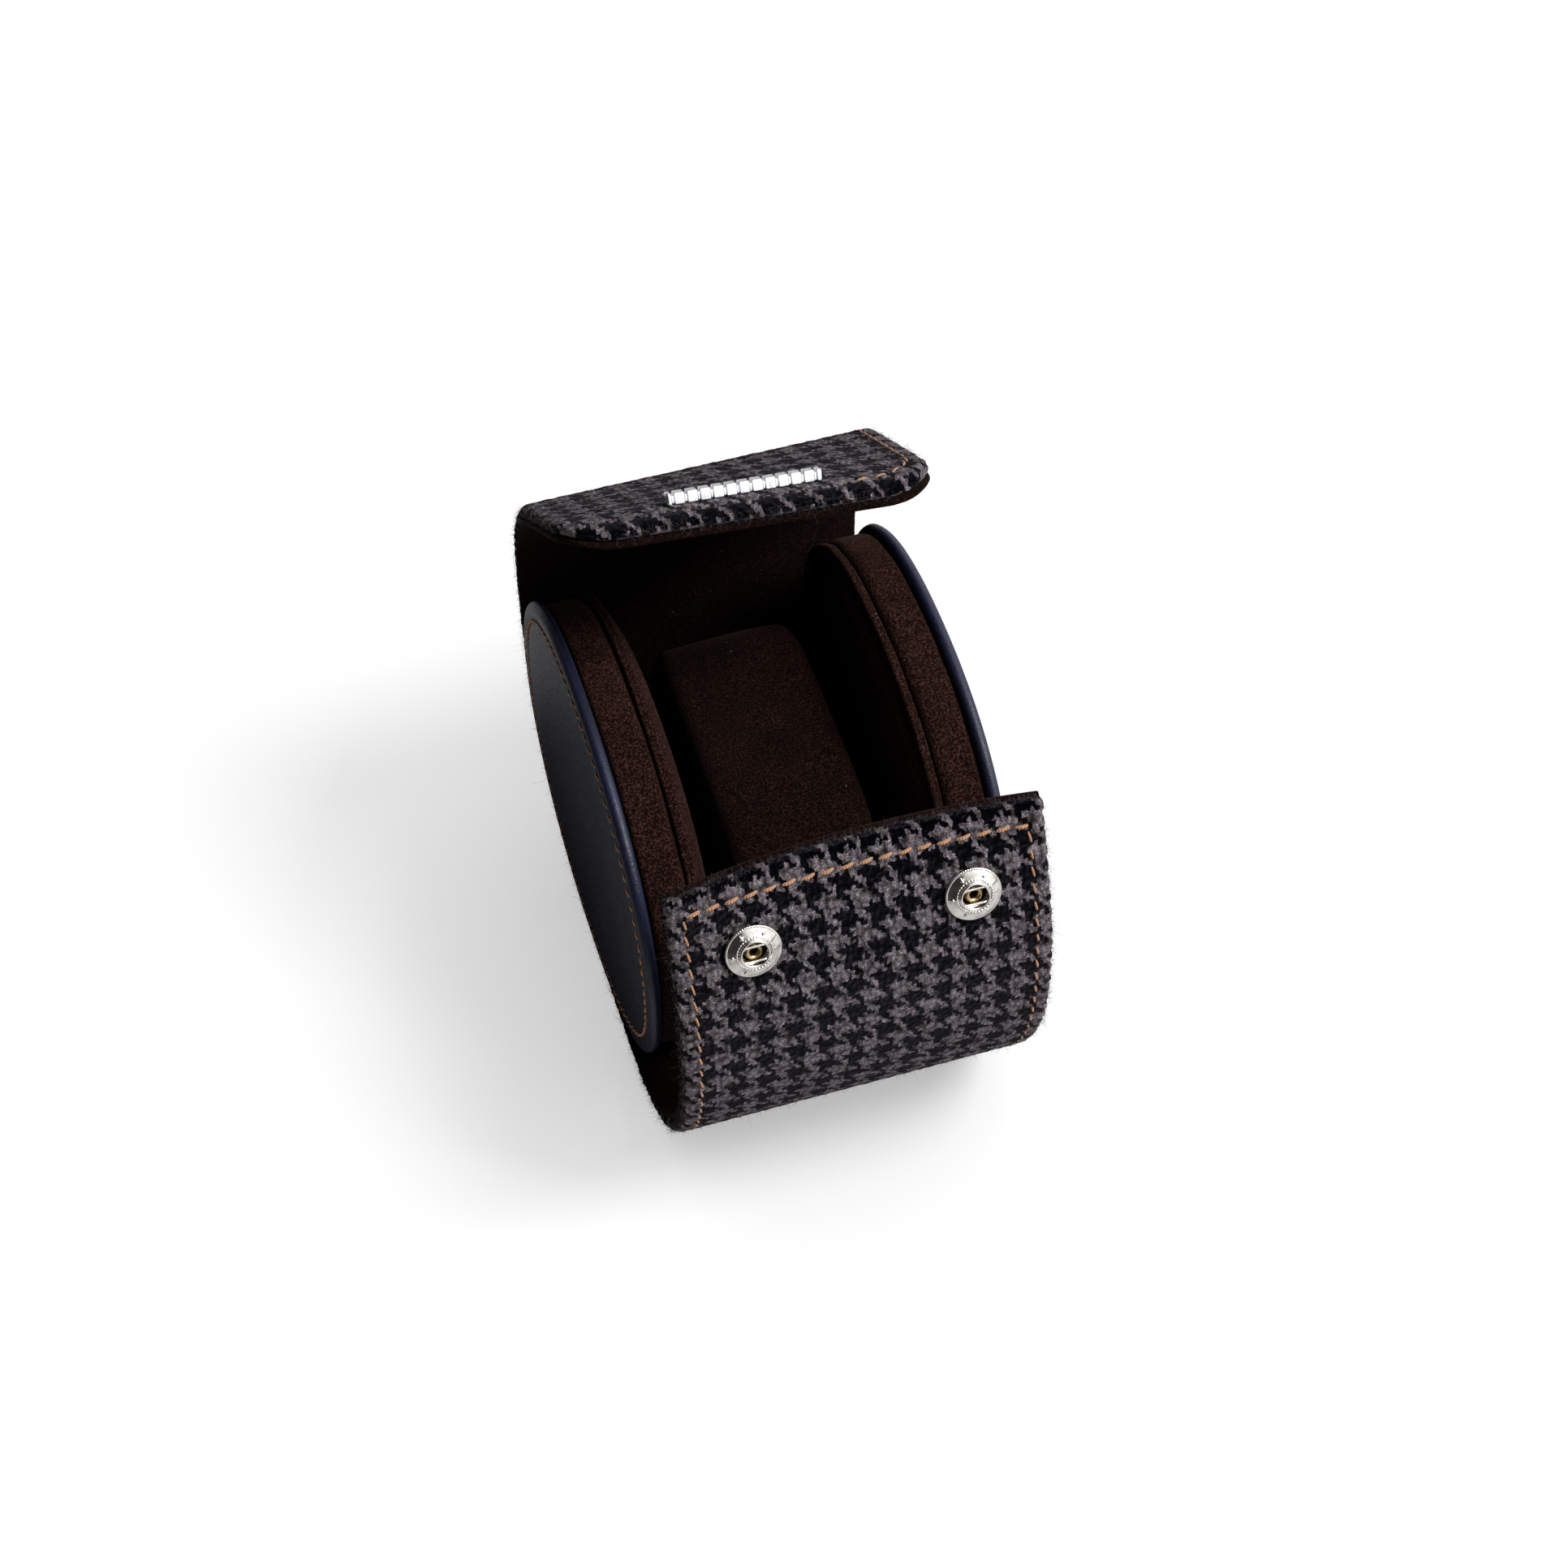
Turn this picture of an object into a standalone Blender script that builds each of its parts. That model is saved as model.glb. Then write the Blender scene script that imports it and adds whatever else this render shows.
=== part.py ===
"""Travel case for one watch, standing open: a cloth wrap lined with suede, two
oval leather-faced ends, a loose cushion, and two snaps that close the flap.

Metres, +Z up, +X to the wearer's right, the open front towards -Y. The origin
is on the surface that the case stands on, below the middle of its outline.
"""

import math

import bmesh
import bpy
from mathutils import Matrix, Vector

MM = 0.001

# Running and seating clearances, all lengths in millimetres.
GAP = 0.3
SEAT_GAP = 0.35
SPLIT_GAP = 0.4

# The wrap: one strip of three layers.
WRAP_WIDTH = 80.0
CLOTH_THICK = 1.4
STIFFENER_THICK = 1.2
LINING_THICK = 1.0
STIFFENER_MARGIN = 1.6

# Oval end pieces, outline first and then the stack from the outside in.
END_DEPTH = 106.6
END_HEIGHT = 88.0
END_POWER = 2.2
END_POINTS = 60
LEATHER_OVERHANG = 1.0
LEATHER_DEPTH = 3.0
LEATHER_THICK = 0.9
LEATHER_LIP = 3.6
LEATHER_ROUND = 1.1
BAND_INSET = 1.4
BAND_DEPTH = 9.0
BAND_THICK = 1.1
BAND_LIP = 4.9
BAND_ROUND = 1.5
PLATE_THICK = 2.2
PLATE_INSET = 1.5
PLATE_ROUND = 0.9
PAD_INSET = 0.8
PAD_SWELL = 3.8
PAD_ROUND = 3.4

# Side outline of the wrap's outer face. Heights run from the standing surface.
BASE_FRONT = 30.0
BASE_BACK = 13.0
BASE_EASE = 2.0
PANEL_TOP_REACH = 65.0
PANEL_TOP_HEIGHT = 105.8
PANEL_LEAN = 20.0
PANEL_STRAIGHT = 28.0
PANEL_EASE = 2.0
BELLY_REACH = 77.3
BELLY_HEIGHT = 56.0
BELLY_POWER = 1.88
KICK_REACH = 23.5
KICK_HEIGHT = 1.6
BACK_STAND_OFF = 1.6
BACK_HEIGHT = 66.0
SHOULDER_HEIGHT = 86.0
SHOULDER_INSET = 2.6
FLAP_RISE = 37.5
FLAP_ROOT_REACH = 38.5
FLAP_ROOT_HEIGHT = 111.0
FLAP_LENGTH = 42.5
FLAP_CORNER = 12.0
NECK_LENGTH = 9.0
NECK_BACK = 0.8
NECK_SAG = 1.2

# Where the strip may bend: the front heel and the fold above the back.
HEEL_START_REACH = 37.0
HEEL_END_HEIGHT = 21.0
FOLD_START_HEIGHT = 84.0
HEEL_PIVOT_REACH = 46.0
FOLD_PIVOT_HEIGHT = 97.5
STEP = 3.0

# Snaps.
SNAP_INSET = 16.7
SNAP_SPACING = WRAP_WIDTH - 2 * SNAP_INSET
SNAP_SETBACK = 17.0
SOCKET_RADIUS = 6.1
SOCKET_BASE = 0.45
SOCKET_RIM = 0.8
SOCKET_HEIGHT = 2.3
SOCKET_MOUTH = 2.8
SOCKET_LIP = 0.35
SOCKET_CHAMBER = 4.2
SPRING_WIRE = 0.28
SPRING_SPREAD = 1.75
RIVET_HEAD = 4.6
RIVET_HEAD_THICK = 0.6
RIVET_SHANK = 1.5
RIVET_BORE = 0.9
RIVET_ROLL = 2.1
RIVET_ROLL_THICK = 0.3
STUD_FLANGE = 5.0
STUD_FLANGE_THICK = 0.6
STUD_NECK = 1.9
STUD_HEAD = 2.25
STUD_HEIGHT = 3.2
STUD_WALL = 0.35
ROUND_POINTS = 32

# Plain bar on the flap.
BAR_LENGTH = 33.0
BAR_WIDTH = 3.2
BAR_HEIGHT = 2.2
BAR_SETBACK = 7.5
BAR_PIN_RADIUS = 0.6
BAR_PIN_SPACING = 20.0

# Loose cushion.
CUSHION_WIDTH = 32.4
CUSHION_DEPTH = 78.0
CUSHION_TOP = 71.0
CUSHION_POWER = 4.0
CUSHION_FOOT_POWER = 2.4
CUSHION_CENTRE = -3.0
CUSHION_ROUND = 3.0
CUSHION_POINTS = 48

WRAP_THICK = CLOTH_THICK + STIFFENER_THICK + LINING_THICK + 2 * GAP
END_CENTRE = WRAP_THICK + SEAT_GAP + END_HEIGHT / 2
CLOTH = (0.0, CLOTH_THICK)
STIFFENER = (CLOTH_THICK + GAP, CLOTH_THICK + GAP + STIFFENER_THICK)
LINING = (WRAP_THICK - LINING_THICK, WRAP_THICK)

FINISHES = {
    "wool": ((0.085, 0.075, 0.085), 0.95, 0.0),
    "suede": ((0.055, 0.027, 0.021), 0.95, 0.0),
    "stiffener": ((0.32, 0.27, 0.22), 0.9, 0.0),
    "leather": ((0.024, 0.026, 0.045), 0.5, 0.0),
    "board": ((0.42, 0.34, 0.25), 0.9, 0.0),
    "foam": ((0.10, 0.10, 0.11), 0.95, 0.0),
    "nickel": ((0.78, 0.77, 0.75), 0.18, 1.0),
    "steel_wire": ((0.60, 0.55, 0.45), 0.25, 1.0),
    "chrome": ((0.85, 0.85, 0.86), 0.08, 1.0),
}

# Side views are drawn in a plane whose x is world Y and whose y is world Z.
SIDE_VIEW = Matrix(((0, 0, 1), (1, 0, 0), (0, 1, 0))).to_4x4()


def collection(name):
    """Returns a new collection linked to the scene."""
    made = bpy.data.collections.new(name)
    bpy.context.scene.collection.children.link(made)
    return made


def clear_scene():
    """Removes every object that the file starts with."""
    for ob in list(bpy.data.objects):
        bpy.data.objects.remove(ob, do_unlink=True)


def finish(ob, name):
    """Gives an object its own material, made from one of the finishes."""
    color, roughness, metallic = FINISHES[name]
    material = bpy.data.materials.new(f"{ob.name}_{name}")
    material.use_nodes = True
    shader = material.node_tree.nodes["Principled BSDF"]
    shader.inputs["Base Color"].default_value = (*color, 1.0)
    shader.inputs["Roughness"].default_value = roughness
    shader.inputs["Metallic"].default_value = metallic
    material.diffuse_color = (*color, 1.0)
    ob.data.materials.clear()
    ob.data.materials.append(material)


def flat_outline(name, points, thickness, matrix, target):
    """Makes a flat piece from a closed outline in millimetres, half its thickness each way."""
    curve = bpy.data.curves.new(name, "CURVE")
    curve.dimensions = "2D"
    curve.fill_mode = "BOTH"
    curve.extrude = thickness / 2 * MM
    spline = curve.splines.new("POLY")
    spline.points.add(len(points) - 1)
    for point, (x, y) in zip(spline.points, points):
        point.co = (x * MM, y * MM, 0.0, 1.0)
    spline.use_cyclic_u = True
    ob = bpy.data.objects.new(name, curve)
    ob.matrix_world = matrix
    target.objects.link(ob)
    return ob


def as_mesh(ob, target):
    """Turns a curve piece into a closed mesh piece of the same name."""
    name, matrix = ob.name, ob.matrix_world.copy()
    bpy.context.view_layer.update()
    graph = bpy.context.evaluated_depsgraph_get()
    mesh = bpy.data.meshes.new_from_object(ob.evaluated_get(graph))
    work = bmesh.new()
    work.from_mesh(mesh)
    bmesh.ops.remove_doubles(work, verts=work.verts, dist=1e-6)
    bmesh.ops.recalc_face_normals(work, faces=work.faces)
    work.to_mesh(mesh)
    work.free()
    bpy.data.objects.remove(ob, do_unlink=True)
    made = bpy.data.objects.new(name, mesh)
    made.matrix_world = matrix
    target.objects.link(made)
    return made


def round_edges(ob, radius, segments=2):
    """Rounds the long rims of a flat piece."""
    bevel = ob.modifiers.new("Rounded rims", "BEVEL")
    bevel.width = radius * MM
    bevel.segments = segments
    bevel.limit_method = "ANGLE"
    bevel.angle_limit = math.radians(60)


def cut(ob, cutter):
    """Takes a cutter away from a piece."""
    boolean = ob.modifiers.new(f"Cut {cutter.name}", "BOOLEAN")
    boolean.operation = "DIFFERENCE"
    boolean.solver = "EXACT"
    boolean.object = cutter
    cutter.hide_render = True
    cutter.display_type = "WIRE"


def join(ob, addition):
    """Adds another solid to a piece."""
    boolean = ob.modifiers.new(f"Join {addition.name}", "BOOLEAN")
    boolean.operation = "UNION"
    boolean.solver = "EXACT"
    boolean.object = addition
    addition.hide_render = True
    addition.display_type = "WIRE"


def turned(name, profile, matrix, target):
    """Makes a turned piece from a closed profile of (radius, height) in millimetres, which runs up its outer side."""
    mesh = bpy.data.meshes.new(name)
    verts = [(radius * MM, 0.0, height * MM) for radius, height in reversed(profile)]
    edges = [(i, (i + 1) % len(profile)) for i in range(len(profile))]
    mesh.from_pydata(verts, edges, [])
    ob = bpy.data.objects.new(name, mesh)
    ob.matrix_world = matrix
    target.objects.link(ob)
    screw = ob.modifiers.new("Turned", "SCREW")
    screw.steps = round(ROUND_POINTS)
    screw.render_steps = round(ROUND_POINTS)
    screw.use_merge_vertices = True
    screw.merge_threshold = 1e-6
    return ob


def cylinder(name, radius, low, high, matrix, target):
    """Makes a cylinder along its own Z from low to high."""
    mesh = bpy.data.meshes.new(name)
    work = bmesh.new()
    bmesh.ops.create_cone(work, cap_ends=True, segments=round(ROUND_POINTS), radius1=radius * MM, radius2=radius * MM,
                          depth=(high - low) * MM, matrix=Matrix.Translation((0, 0, (low + high) / 2 * MM)))
    work.to_mesh(mesh)
    work.free()
    ob = bpy.data.objects.new(name, mesh)
    ob.matrix_world = matrix
    target.objects.link(ob)
    return ob


def oval(half_depth, half_height, power, count, centre):
    """Returns a superellipse as a list of side-view points."""
    points = []
    count = round(count)
    for index in range(count):
        angle = 2 * math.pi * index / count
        c, s = math.cos(angle), math.sin(angle)
        points.append((centre[0] + half_depth * math.copysign(abs(c) ** (2 / power), c),
                       centre[1] + half_height * math.copysign(abs(s) ** (2 / power), s)))
    return points


def end_outline(inset):
    """Returns the outline of an end piece, drawn in by the inset."""
    return oval(END_DEPTH / 2 - inset, END_HEIGHT / 2 - inset, END_POWER, END_POINTS, (0.0, END_CENTRE))


def end_rim(degrees, offset):
    """Returns the point at an angle on the end's rim, moved outwards by the offset."""
    angle = math.radians(degrees)
    c, s = math.cos(angle), math.sin(angle)
    half_y, half_z = END_DEPTH / 2, END_HEIGHT / 2
    y = half_y * math.copysign(abs(c) ** (2 / END_POWER), c)
    z = half_z * math.copysign(abs(s) ** (2 / END_POWER), s)
    slope_y = math.copysign(abs(y / half_y) ** (END_POWER - 1), y) / half_y
    slope_z = math.copysign(abs(z / half_z) ** (END_POWER - 1), z) / half_z
    length = math.hypot(slope_y, slope_z)
    return y + offset * slope_y / length, END_CENTRE + z + offset * slope_z / length


def smooth(points, step):
    """Returns a smooth path through the points, with a point at about every step."""
    ends = [tuple(2 * a - b for a, b in zip(points[0], points[1]))]
    tail = [tuple(2 * a - b for a, b in zip(points[-1], points[-2]))]
    knots = [Vector(p) for p in ends + list(points) + tail]
    path = []
    for p0, p1, p2, p3 in zip(knots, knots[1:], knots[2:], knots[3:]):
        t0 = 0.0
        t1 = t0 + math.sqrt((p1 - p0).length)
        t2 = t1 + math.sqrt((p2 - p1).length)
        t3 = t2 + math.sqrt((p3 - p2).length)
        count = max(1, round((p2 - p1).length / step))
        for index in range(count):
            t = t1 + (t2 - t1) * index / count
            a1 = p0 * ((t1 - t) / (t1 - t0)) + p1 * ((t - t0) / (t1 - t0))
            a2 = p1 * ((t2 - t) / (t2 - t1)) + p2 * ((t - t1) / (t2 - t1))
            a3 = p2 * ((t3 - t) / (t3 - t2)) + p3 * ((t - t2) / (t3 - t2))
            b1 = a1 * ((t2 - t) / (t2 - t0)) + a2 * ((t - t0) / (t2 - t0))
            b2 = a2 * ((t3 - t) / (t3 - t1)) + a3 * ((t - t1) / (t3 - t1))
            path.append(b1 * ((t2 - t) / (t2 - t1)) + b2 * ((t - t1) / (t2 - t1)))
    path.append(knots[-2])
    return [(p.x, p.y) for p in path]


def rise(degrees):
    """Returns the unit step towards the front at a rise above level."""
    angle = math.radians(degrees)
    return -math.cos(angle), math.sin(angle)


def panel_point(distance):
    """Returns the point on the front panel's outer face at a distance below its top edge."""
    lean = math.radians(PANEL_LEAN)
    return (-PANEL_TOP_REACH - distance * math.sin(lean), PANEL_TOP_HEIGHT - distance * math.cos(lean))


def strip_outline():
    """Returns the strip's outer face in side view, from the front panel's top to the flap's root."""
    offset = WRAP_THICK + SEAT_GAP
    half_depth = END_DEPTH / 2
    stations = [panel_point(distance) for distance in (0.0, PANEL_STRAIGHT / 2, PANEL_STRAIGHT, PANEL_STRAIGHT + PANEL_EASE)]
    belly = oval(BELLY_REACH - BASE_FRONT, BELLY_HEIGHT, BELLY_POWER, 24, (-BASE_FRONT, BELLY_HEIGHT))
    stations += belly[12:19]
    stations += [(-BASE_FRONT + BASE_EASE, 0.0), (0.0, 0.0), (BASE_BACK - BASE_EASE, 0.0), (BASE_BACK, 0.0), (KICK_REACH, KICK_HEIGHT)]
    stations += [end_rim(degrees, offset) for degrees in (-50, -41, -32, -22, -12)]
    back = half_depth + offset + BACK_STAND_OFF
    stations += [(back, BACK_HEIGHT), (back - SHOULDER_INSET, SHOULDER_HEIGHT)]
    forward, up = rise(FLAP_RISE)
    root = (FLAP_ROOT_REACH, FLAP_ROOT_HEIGHT)
    neck = (root[0] - NECK_LENGTH * forward + NECK_BACK, root[1] - NECK_LENGTH * up - NECK_SAG)
    stations += [neck, root]
    return smooth(stations, STEP)


def with_inward_steps(path):
    """Returns the path's points, each with the unit step from it towards the case's inside."""
    stepped = []
    for index, (y, z) in enumerate(path):
        before = path[max(index - 1, 0)]
        after = path[min(index + 1, len(path) - 1)]
        run, climb = after[0] - before[0], after[1] - before[1]
        length = math.hypot(run, climb)
        stepped.append((y, z, -climb / length, run / length))
    return stepped


def inner_face(path, depth):
    """Returns the path moved inwards by a depth, as side-view points."""
    return [(y + step_y * depth, z + step_z * depth) for y, z, step_y, step_z in path]


def shortened(path, start, end):
    """Returns a path with a length taken off its start and its end."""
    for amount, reverse in ((start, False), (end, True)):
        if reverse:
            path = path[::-1]
        left = amount
        while left > 0:
            run = math.dist(path[0][:2], path[1][:2])
            if run > left:
                share = left / run
                path = [tuple(a + (b - a) * share for a, b in zip(path[0], path[1]))] + path[1:]
                left = 0
            else:
                left -= run
                path = path[1:]
        if reverse:
            path = path[::-1]
    return path


def layer(name, path, depths, width, look, parts):
    """Makes one layer of the strip along a stretch of its side view."""
    outer = inner_face(path, depths[0])
    inner = inner_face(path, depths[1])
    ob = flat_outline(name, outer + inner[::-1], width, SIDE_VIEW, parts)
    ob = as_mesh(ob, parts)
    finish(ob, look)
    return ob


def split(path):
    """Divides the strip at the heel and the fold into front, heel, base and fold stretches."""
    heel_end = next(i for i, p in enumerate(path) if p[1] < HEEL_END_HEIGHT)
    heel_start = next(i for i, p in enumerate(path) if p[0] > -HEEL_START_REACH and i > heel_end)
    fold_start = next(i for i, p in enumerate(path) if p[0] > 0 and p[1] > FOLD_START_HEIGHT)
    half = SPLIT_GAP / 2
    return (shortened(path[:heel_end + 1], 0.0, half), shortened(path[heel_end:heel_start + 1], half, half),
            shortened(path[heel_start:fold_start + 1], half, half), shortened(path[fold_start:], half, half))


def make_strip(parts, cutters):
    """Makes the three-layered strip from the front panel to the fold."""
    front, heel, base, fold = split(with_inward_steps(strip_outline()))
    narrow = WRAP_WIDTH - 2 * STIFFENER_MARGIN
    panel = {}
    for part, path in (("front_panel", front), ("base", base)):
        panel[part, "cloth"] = layer(f"{part}_cloth", path, CLOTH, WRAP_WIDTH, "wool", parts)
        stiff = shortened(path, STIFFENER_MARGIN, 0.0) if part == "front_panel" else path
        panel[part, "stiffener"] = layer(f"{part}_stiffener", stiff, STIFFENER, narrow, "stiffener", parts)
        panel[part, "lining"] = layer(f"{part}_lining", path, LINING, WRAP_WIDTH, "suede", parts)
    for part, path in (("front_heel", heel), ("flap_fold", fold)):
        layer(f"{part}_cloth", path, CLOTH, WRAP_WIDTH, "wool", parts)
        layer(f"{part}_lining", path, LINING, WRAP_WIDTH, "suede", parts)
    for side, sign in (("left", -1), ("right", 1)):
        seat = panel_frame(sign)
        shank = cylinder(f"{side}_socket_hole", RIVET_SHANK + GAP, -CLOTH_THICK - 1.0, 1.0, seat, cutters)
        head = cylinder(f"{side}_rivet_pocket", RIVET_HEAD + GAP, -WRAP_THICK + LINING_THICK, -CLOTH_THICK, seat, cutters)
        cut(panel["front_panel", "cloth"], shank)
        cut(panel["front_panel", "stiffener"], head)


def flap_frame():
    """Returns the flap's frame: X to the left, Y towards its free edge, Z out of its outer face."""
    forward, up = rise(FLAP_RISE)
    along = Vector((0.0, forward, up))
    out = Vector((0.0, up, -forward))
    across = along.cross(out)
    frame = Matrix((across, along, out)).transposed().to_4x4()
    frame.translation = Vector((0.0, FLAP_ROOT_REACH, FLAP_ROOT_HEIGHT)) * MM
    return frame


def flap_outline(width, start, end, corner):
    """Returns the flap's outline with its two free corners rounded."""
    half = width / 2
    points = [(-half, start)]
    for centre, first in (((-half + corner, end - corner), 180), ((half - corner, end - corner), 90)):
        for index in range(9):
            angle = math.radians(first - 90 * index / 8)
            points.append((centre[0] + corner * math.cos(angle), centre[1] + corner * math.sin(angle)))
    return points + [(half, start)]


def make_flap(parts, cutters):
    """Makes the flap's three layers, with the holes for its rivets and the bar's pins."""
    frame = flap_frame()
    pieces = {}
    for name, depths, margin, look in (("cloth", CLOTH, 0.0, "wool"), ("stiffener", STIFFENER, STIFFENER_MARGIN, "stiffener"),
                                       ("lining", LINING, 0.0, "suede")):
        middle = -(depths[0] + depths[1]) / 2
        outline = flap_outline(WRAP_WIDTH - 2 * margin, GAP / 2, FLAP_LENGTH - margin, FLAP_CORNER - margin)
        ob = flat_outline(f"flap_{name}", outline, depths[1] - depths[0],
                          frame @ Matrix.Translation((0, 0, middle * MM)), parts)
        pieces[name] = as_mesh(ob, parts)
        finish(pieces[name], look)
    for side, sign in (("left", -1), ("right", 1)):
        seat = stud_frame(sign)
        shank = cylinder(f"{side}_stud_hole", RIVET_SHANK + GAP, -LINING_THICK - 1.0, 1.0, seat, cutters)
        head = cylinder(f"{side}_stud_pocket", RIVET_HEAD + GAP, -WRAP_THICK + CLOTH_THICK, -LINING_THICK, seat, cutters)
        pin = cylinder(f"{side}_pin_hole", BAR_PIN_RADIUS + GAP, -CLOTH_THICK - 1.0, 1.0, bar_frame(sign), cutters)
        cut(pieces["lining"], shank)
        cut(pieces["stiffener"], head)
        cut(pieces["cloth"], pin)


def bar_frame(sign):
    """Returns the frame of one pin of the bar, on the flap's outer face."""
    return flap_frame() @ Matrix.Translation((-sign * BAR_PIN_SPACING / 2 * MM, (FLAP_LENGTH - BAR_SETBACK) * MM, 0.0))


def stud_frame(sign):
    """Returns a stud's frame on the flap's lining, with Z out of the lining."""
    place = Matrix.Translation((-sign * SNAP_SPACING / 2 * MM, (FLAP_LENGTH - SNAP_SETBACK) * MM, -WRAP_THICK * MM))
    return flap_frame() @ place @ Matrix.Rotation(math.pi, 4, "X")


def panel_frame(sign):
    """Returns a socket's frame on the front panel's cloth, with Z out of the cloth."""
    y, z = panel_point(SNAP_SETBACK)
    lean = math.radians(PANEL_LEAN)
    out = Vector((0.0, -math.cos(lean), math.sin(lean)))
    across = Vector((1.0, 0.0, 0.0))
    up = out.cross(across)
    frame = Matrix((across, up, out)).transposed().to_4x4()
    frame.translation = Vector((sign * SNAP_SPACING / 2, y, z)) * MM
    return frame


def make_socket(side, seat, parts):
    """Makes one snap socket on the front panel, with its spring and its rivet."""
    top = GAP + SOCKET_HEIGHT
    floor = GAP + SOCKET_BASE
    roof = top - SOCKET_LIP
    hole = RIVET_SHANK + GAP
    profile = [(hole, GAP), (SOCKET_RADIUS, GAP), (SOCKET_RADIUS, GAP + SOCKET_RIM), (SOCKET_RADIUS - 0.3, GAP + SOCKET_RIM + 0.25),
               (SOCKET_CHAMBER + 0.5, top - 0.35), (SOCKET_MOUTH + 0.35, top), (SOCKET_MOUTH, top - 0.1), (SOCKET_MOUTH, roof),
               (SOCKET_CHAMBER, roof), (SOCKET_CHAMBER, floor), (hole, floor)]
    ob = turned(f"{side}_snap_socket", profile, seat, parts)
    finish(ob, "nickel")

    roll_low = floor + GAP
    roll_high = roll_low + RIVET_ROLL_THICK
    head_top = -CLOTH_THICK - GAP
    head_low = head_top - RIVET_HEAD_THICK
    rivet = [(RIVET_BORE, head_low), (RIVET_HEAD, head_low), (RIVET_HEAD, head_top), (RIVET_SHANK, head_top),
             (RIVET_SHANK, roll_low), (RIVET_ROLL, roll_low), (RIVET_ROLL, roll_high), (RIVET_BORE, roll_high)]
    finish(turned(f"{side}_socket_rivet", rivet, seat, parts), "nickel")

    level = roll_high + GAP + SPRING_WIRE
    reach = SOCKET_CHAMBER - GAP - SPRING_WIRE
    tip = math.sqrt(reach ** 2 - SPRING_SPREAD ** 2)
    bend = [(tip - SPRING_SPREAD + SPRING_SPREAD * math.cos(a), SPRING_SPREAD * math.sin(a))
            for a in (math.radians(90 - 22.5 * k) for k in range(9))]
    wire(f"{side}_snap_spring", [(-tip, SPRING_SPREAD)] + bend + [(-tip, -SPRING_SPREAD)], level, SPRING_WIRE, seat, parts)


def wire(name, points, level, radius, matrix, parts):
    """Makes a bent wire that lies level in its frame."""
    curve = bpy.data.curves.new(name, "CURVE")
    curve.dimensions = "3D"
    curve.bevel_depth = radius * MM
    curve.bevel_resolution = 2
    curve.use_fill_caps = True
    spline = curve.splines.new("POLY")
    spline.points.add(len(points) - 1)
    for point, (x, y) in zip(spline.points, points):
        point.co = (x * MM, y * MM, level * MM, 1.0)
    ob = bpy.data.objects.new(name, curve)
    ob.matrix_world = matrix
    parts.objects.link(ob)
    finish(ob, "steel_wire")


def make_stud(side, seat, parts):
    """Makes one snap stud under the flap, and the rivet that holds it."""
    base = GAP
    shoulder = base + STUD_FLANGE_THICK
    top = base + STUD_HEIGHT
    bore = RIVET_SHANK + GAP
    flange = [(bore, base), (STUD_FLANGE, base), (STUD_FLANGE, shoulder - 0.15), (STUD_FLANGE - 0.2, shoulder), (STUD_NECK + STUD_WALL, shoulder),
              (STUD_NECK + STUD_WALL, top - 1.3), (STUD_HEAD + 0.25, top - 0.8), (STUD_HEAD, top - 0.2), (STUD_HEAD - 0.5, top), (bore, top)]
    finish(turned(f"{side}_snap_stud", flange, seat, parts), "nickel")
    head_top = -LINING_THICK - GAP
    head_low = head_top - RIVET_HEAD_THICK
    roll_low = top + GAP
    rivet = [(RIVET_BORE, head_low), (RIVET_HEAD, head_low), (RIVET_HEAD, head_top), (RIVET_SHANK, head_top),
             (RIVET_SHANK, roll_low), (RIVET_ROLL, roll_low), (RIVET_ROLL, roll_low + RIVET_ROLL_THICK),
             (RIVET_BORE, roll_low + RIVET_ROLL_THICK)]
    finish(turned(f"{side}_stud_rivet", rivet, seat, parts), "nickel")


def make_bar(parts, cutters):
    """Makes the plain bar on the flap, with two pins that pass into the cloth."""
    frame = flap_frame() @ Matrix.Translation((0, (FLAP_LENGTH - BAR_SETBACK) * MM, (GAP + BAR_HEIGHT / 2) * MM))
    half = BAR_LENGTH / 2 - BAR_WIDTH / 2
    outline = []
    for centre, first in ((half, 90), (-half, 270)):
        for index in range(9):
            angle = math.radians(first - 180 * index / 8)
            outline.append((centre + BAR_WIDTH / 2 * math.cos(angle), BAR_WIDTH / 2 * math.sin(angle)))
    bar = as_mesh(flat_outline("trim_bar", outline, BAR_HEIGHT, frame, parts), parts)
    round_edges(bar, 0.3)
    for sign in (-1, 1):
        pin = cylinder(f"trim_bar_pin_{sign}", BAR_PIN_RADIUS, -CLOTH_THICK, GAP + BAR_HEIGHT / 2, bar_frame(sign), cutters)
        join(bar, pin)
    finish(bar, "chrome")


def oval_slab(name, inset, near, far, sign, target, rounding=0.0):
    """Makes an oval slab of an end piece, between two distances from the case's middle."""
    place = Matrix.Translation((sign * (near + far) / 2 * MM, 0, 0)) @ SIDE_VIEW
    ob = as_mesh(flat_outline(name, end_outline(inset), far - near, place, target), target)
    if rounding:
        round_edges(ob, rounding)
    return ob


def hollowed(name, inset, near, far, wall, lip, sign, rounding, open_both, parts, cutters):
    """Makes an oval slab with a hollow inside, open in the middle of one face or of both."""
    ob = oval_slab(name, inset, near, far, sign, parts, rounding)
    inner = oval_slab(f"{name}_hollow", inset + wall, near + wall, far - wall, sign, cutters)
    mouth_far = far + 1.0 if open_both else near + wall * 1.5
    mouth = oval_slab(f"{name}_mouth", inset + lip, near - 1.0, mouth_far, sign, cutters)
    for cutter in (inner, mouth):
        cut(ob, cutter)
    return ob


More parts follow.
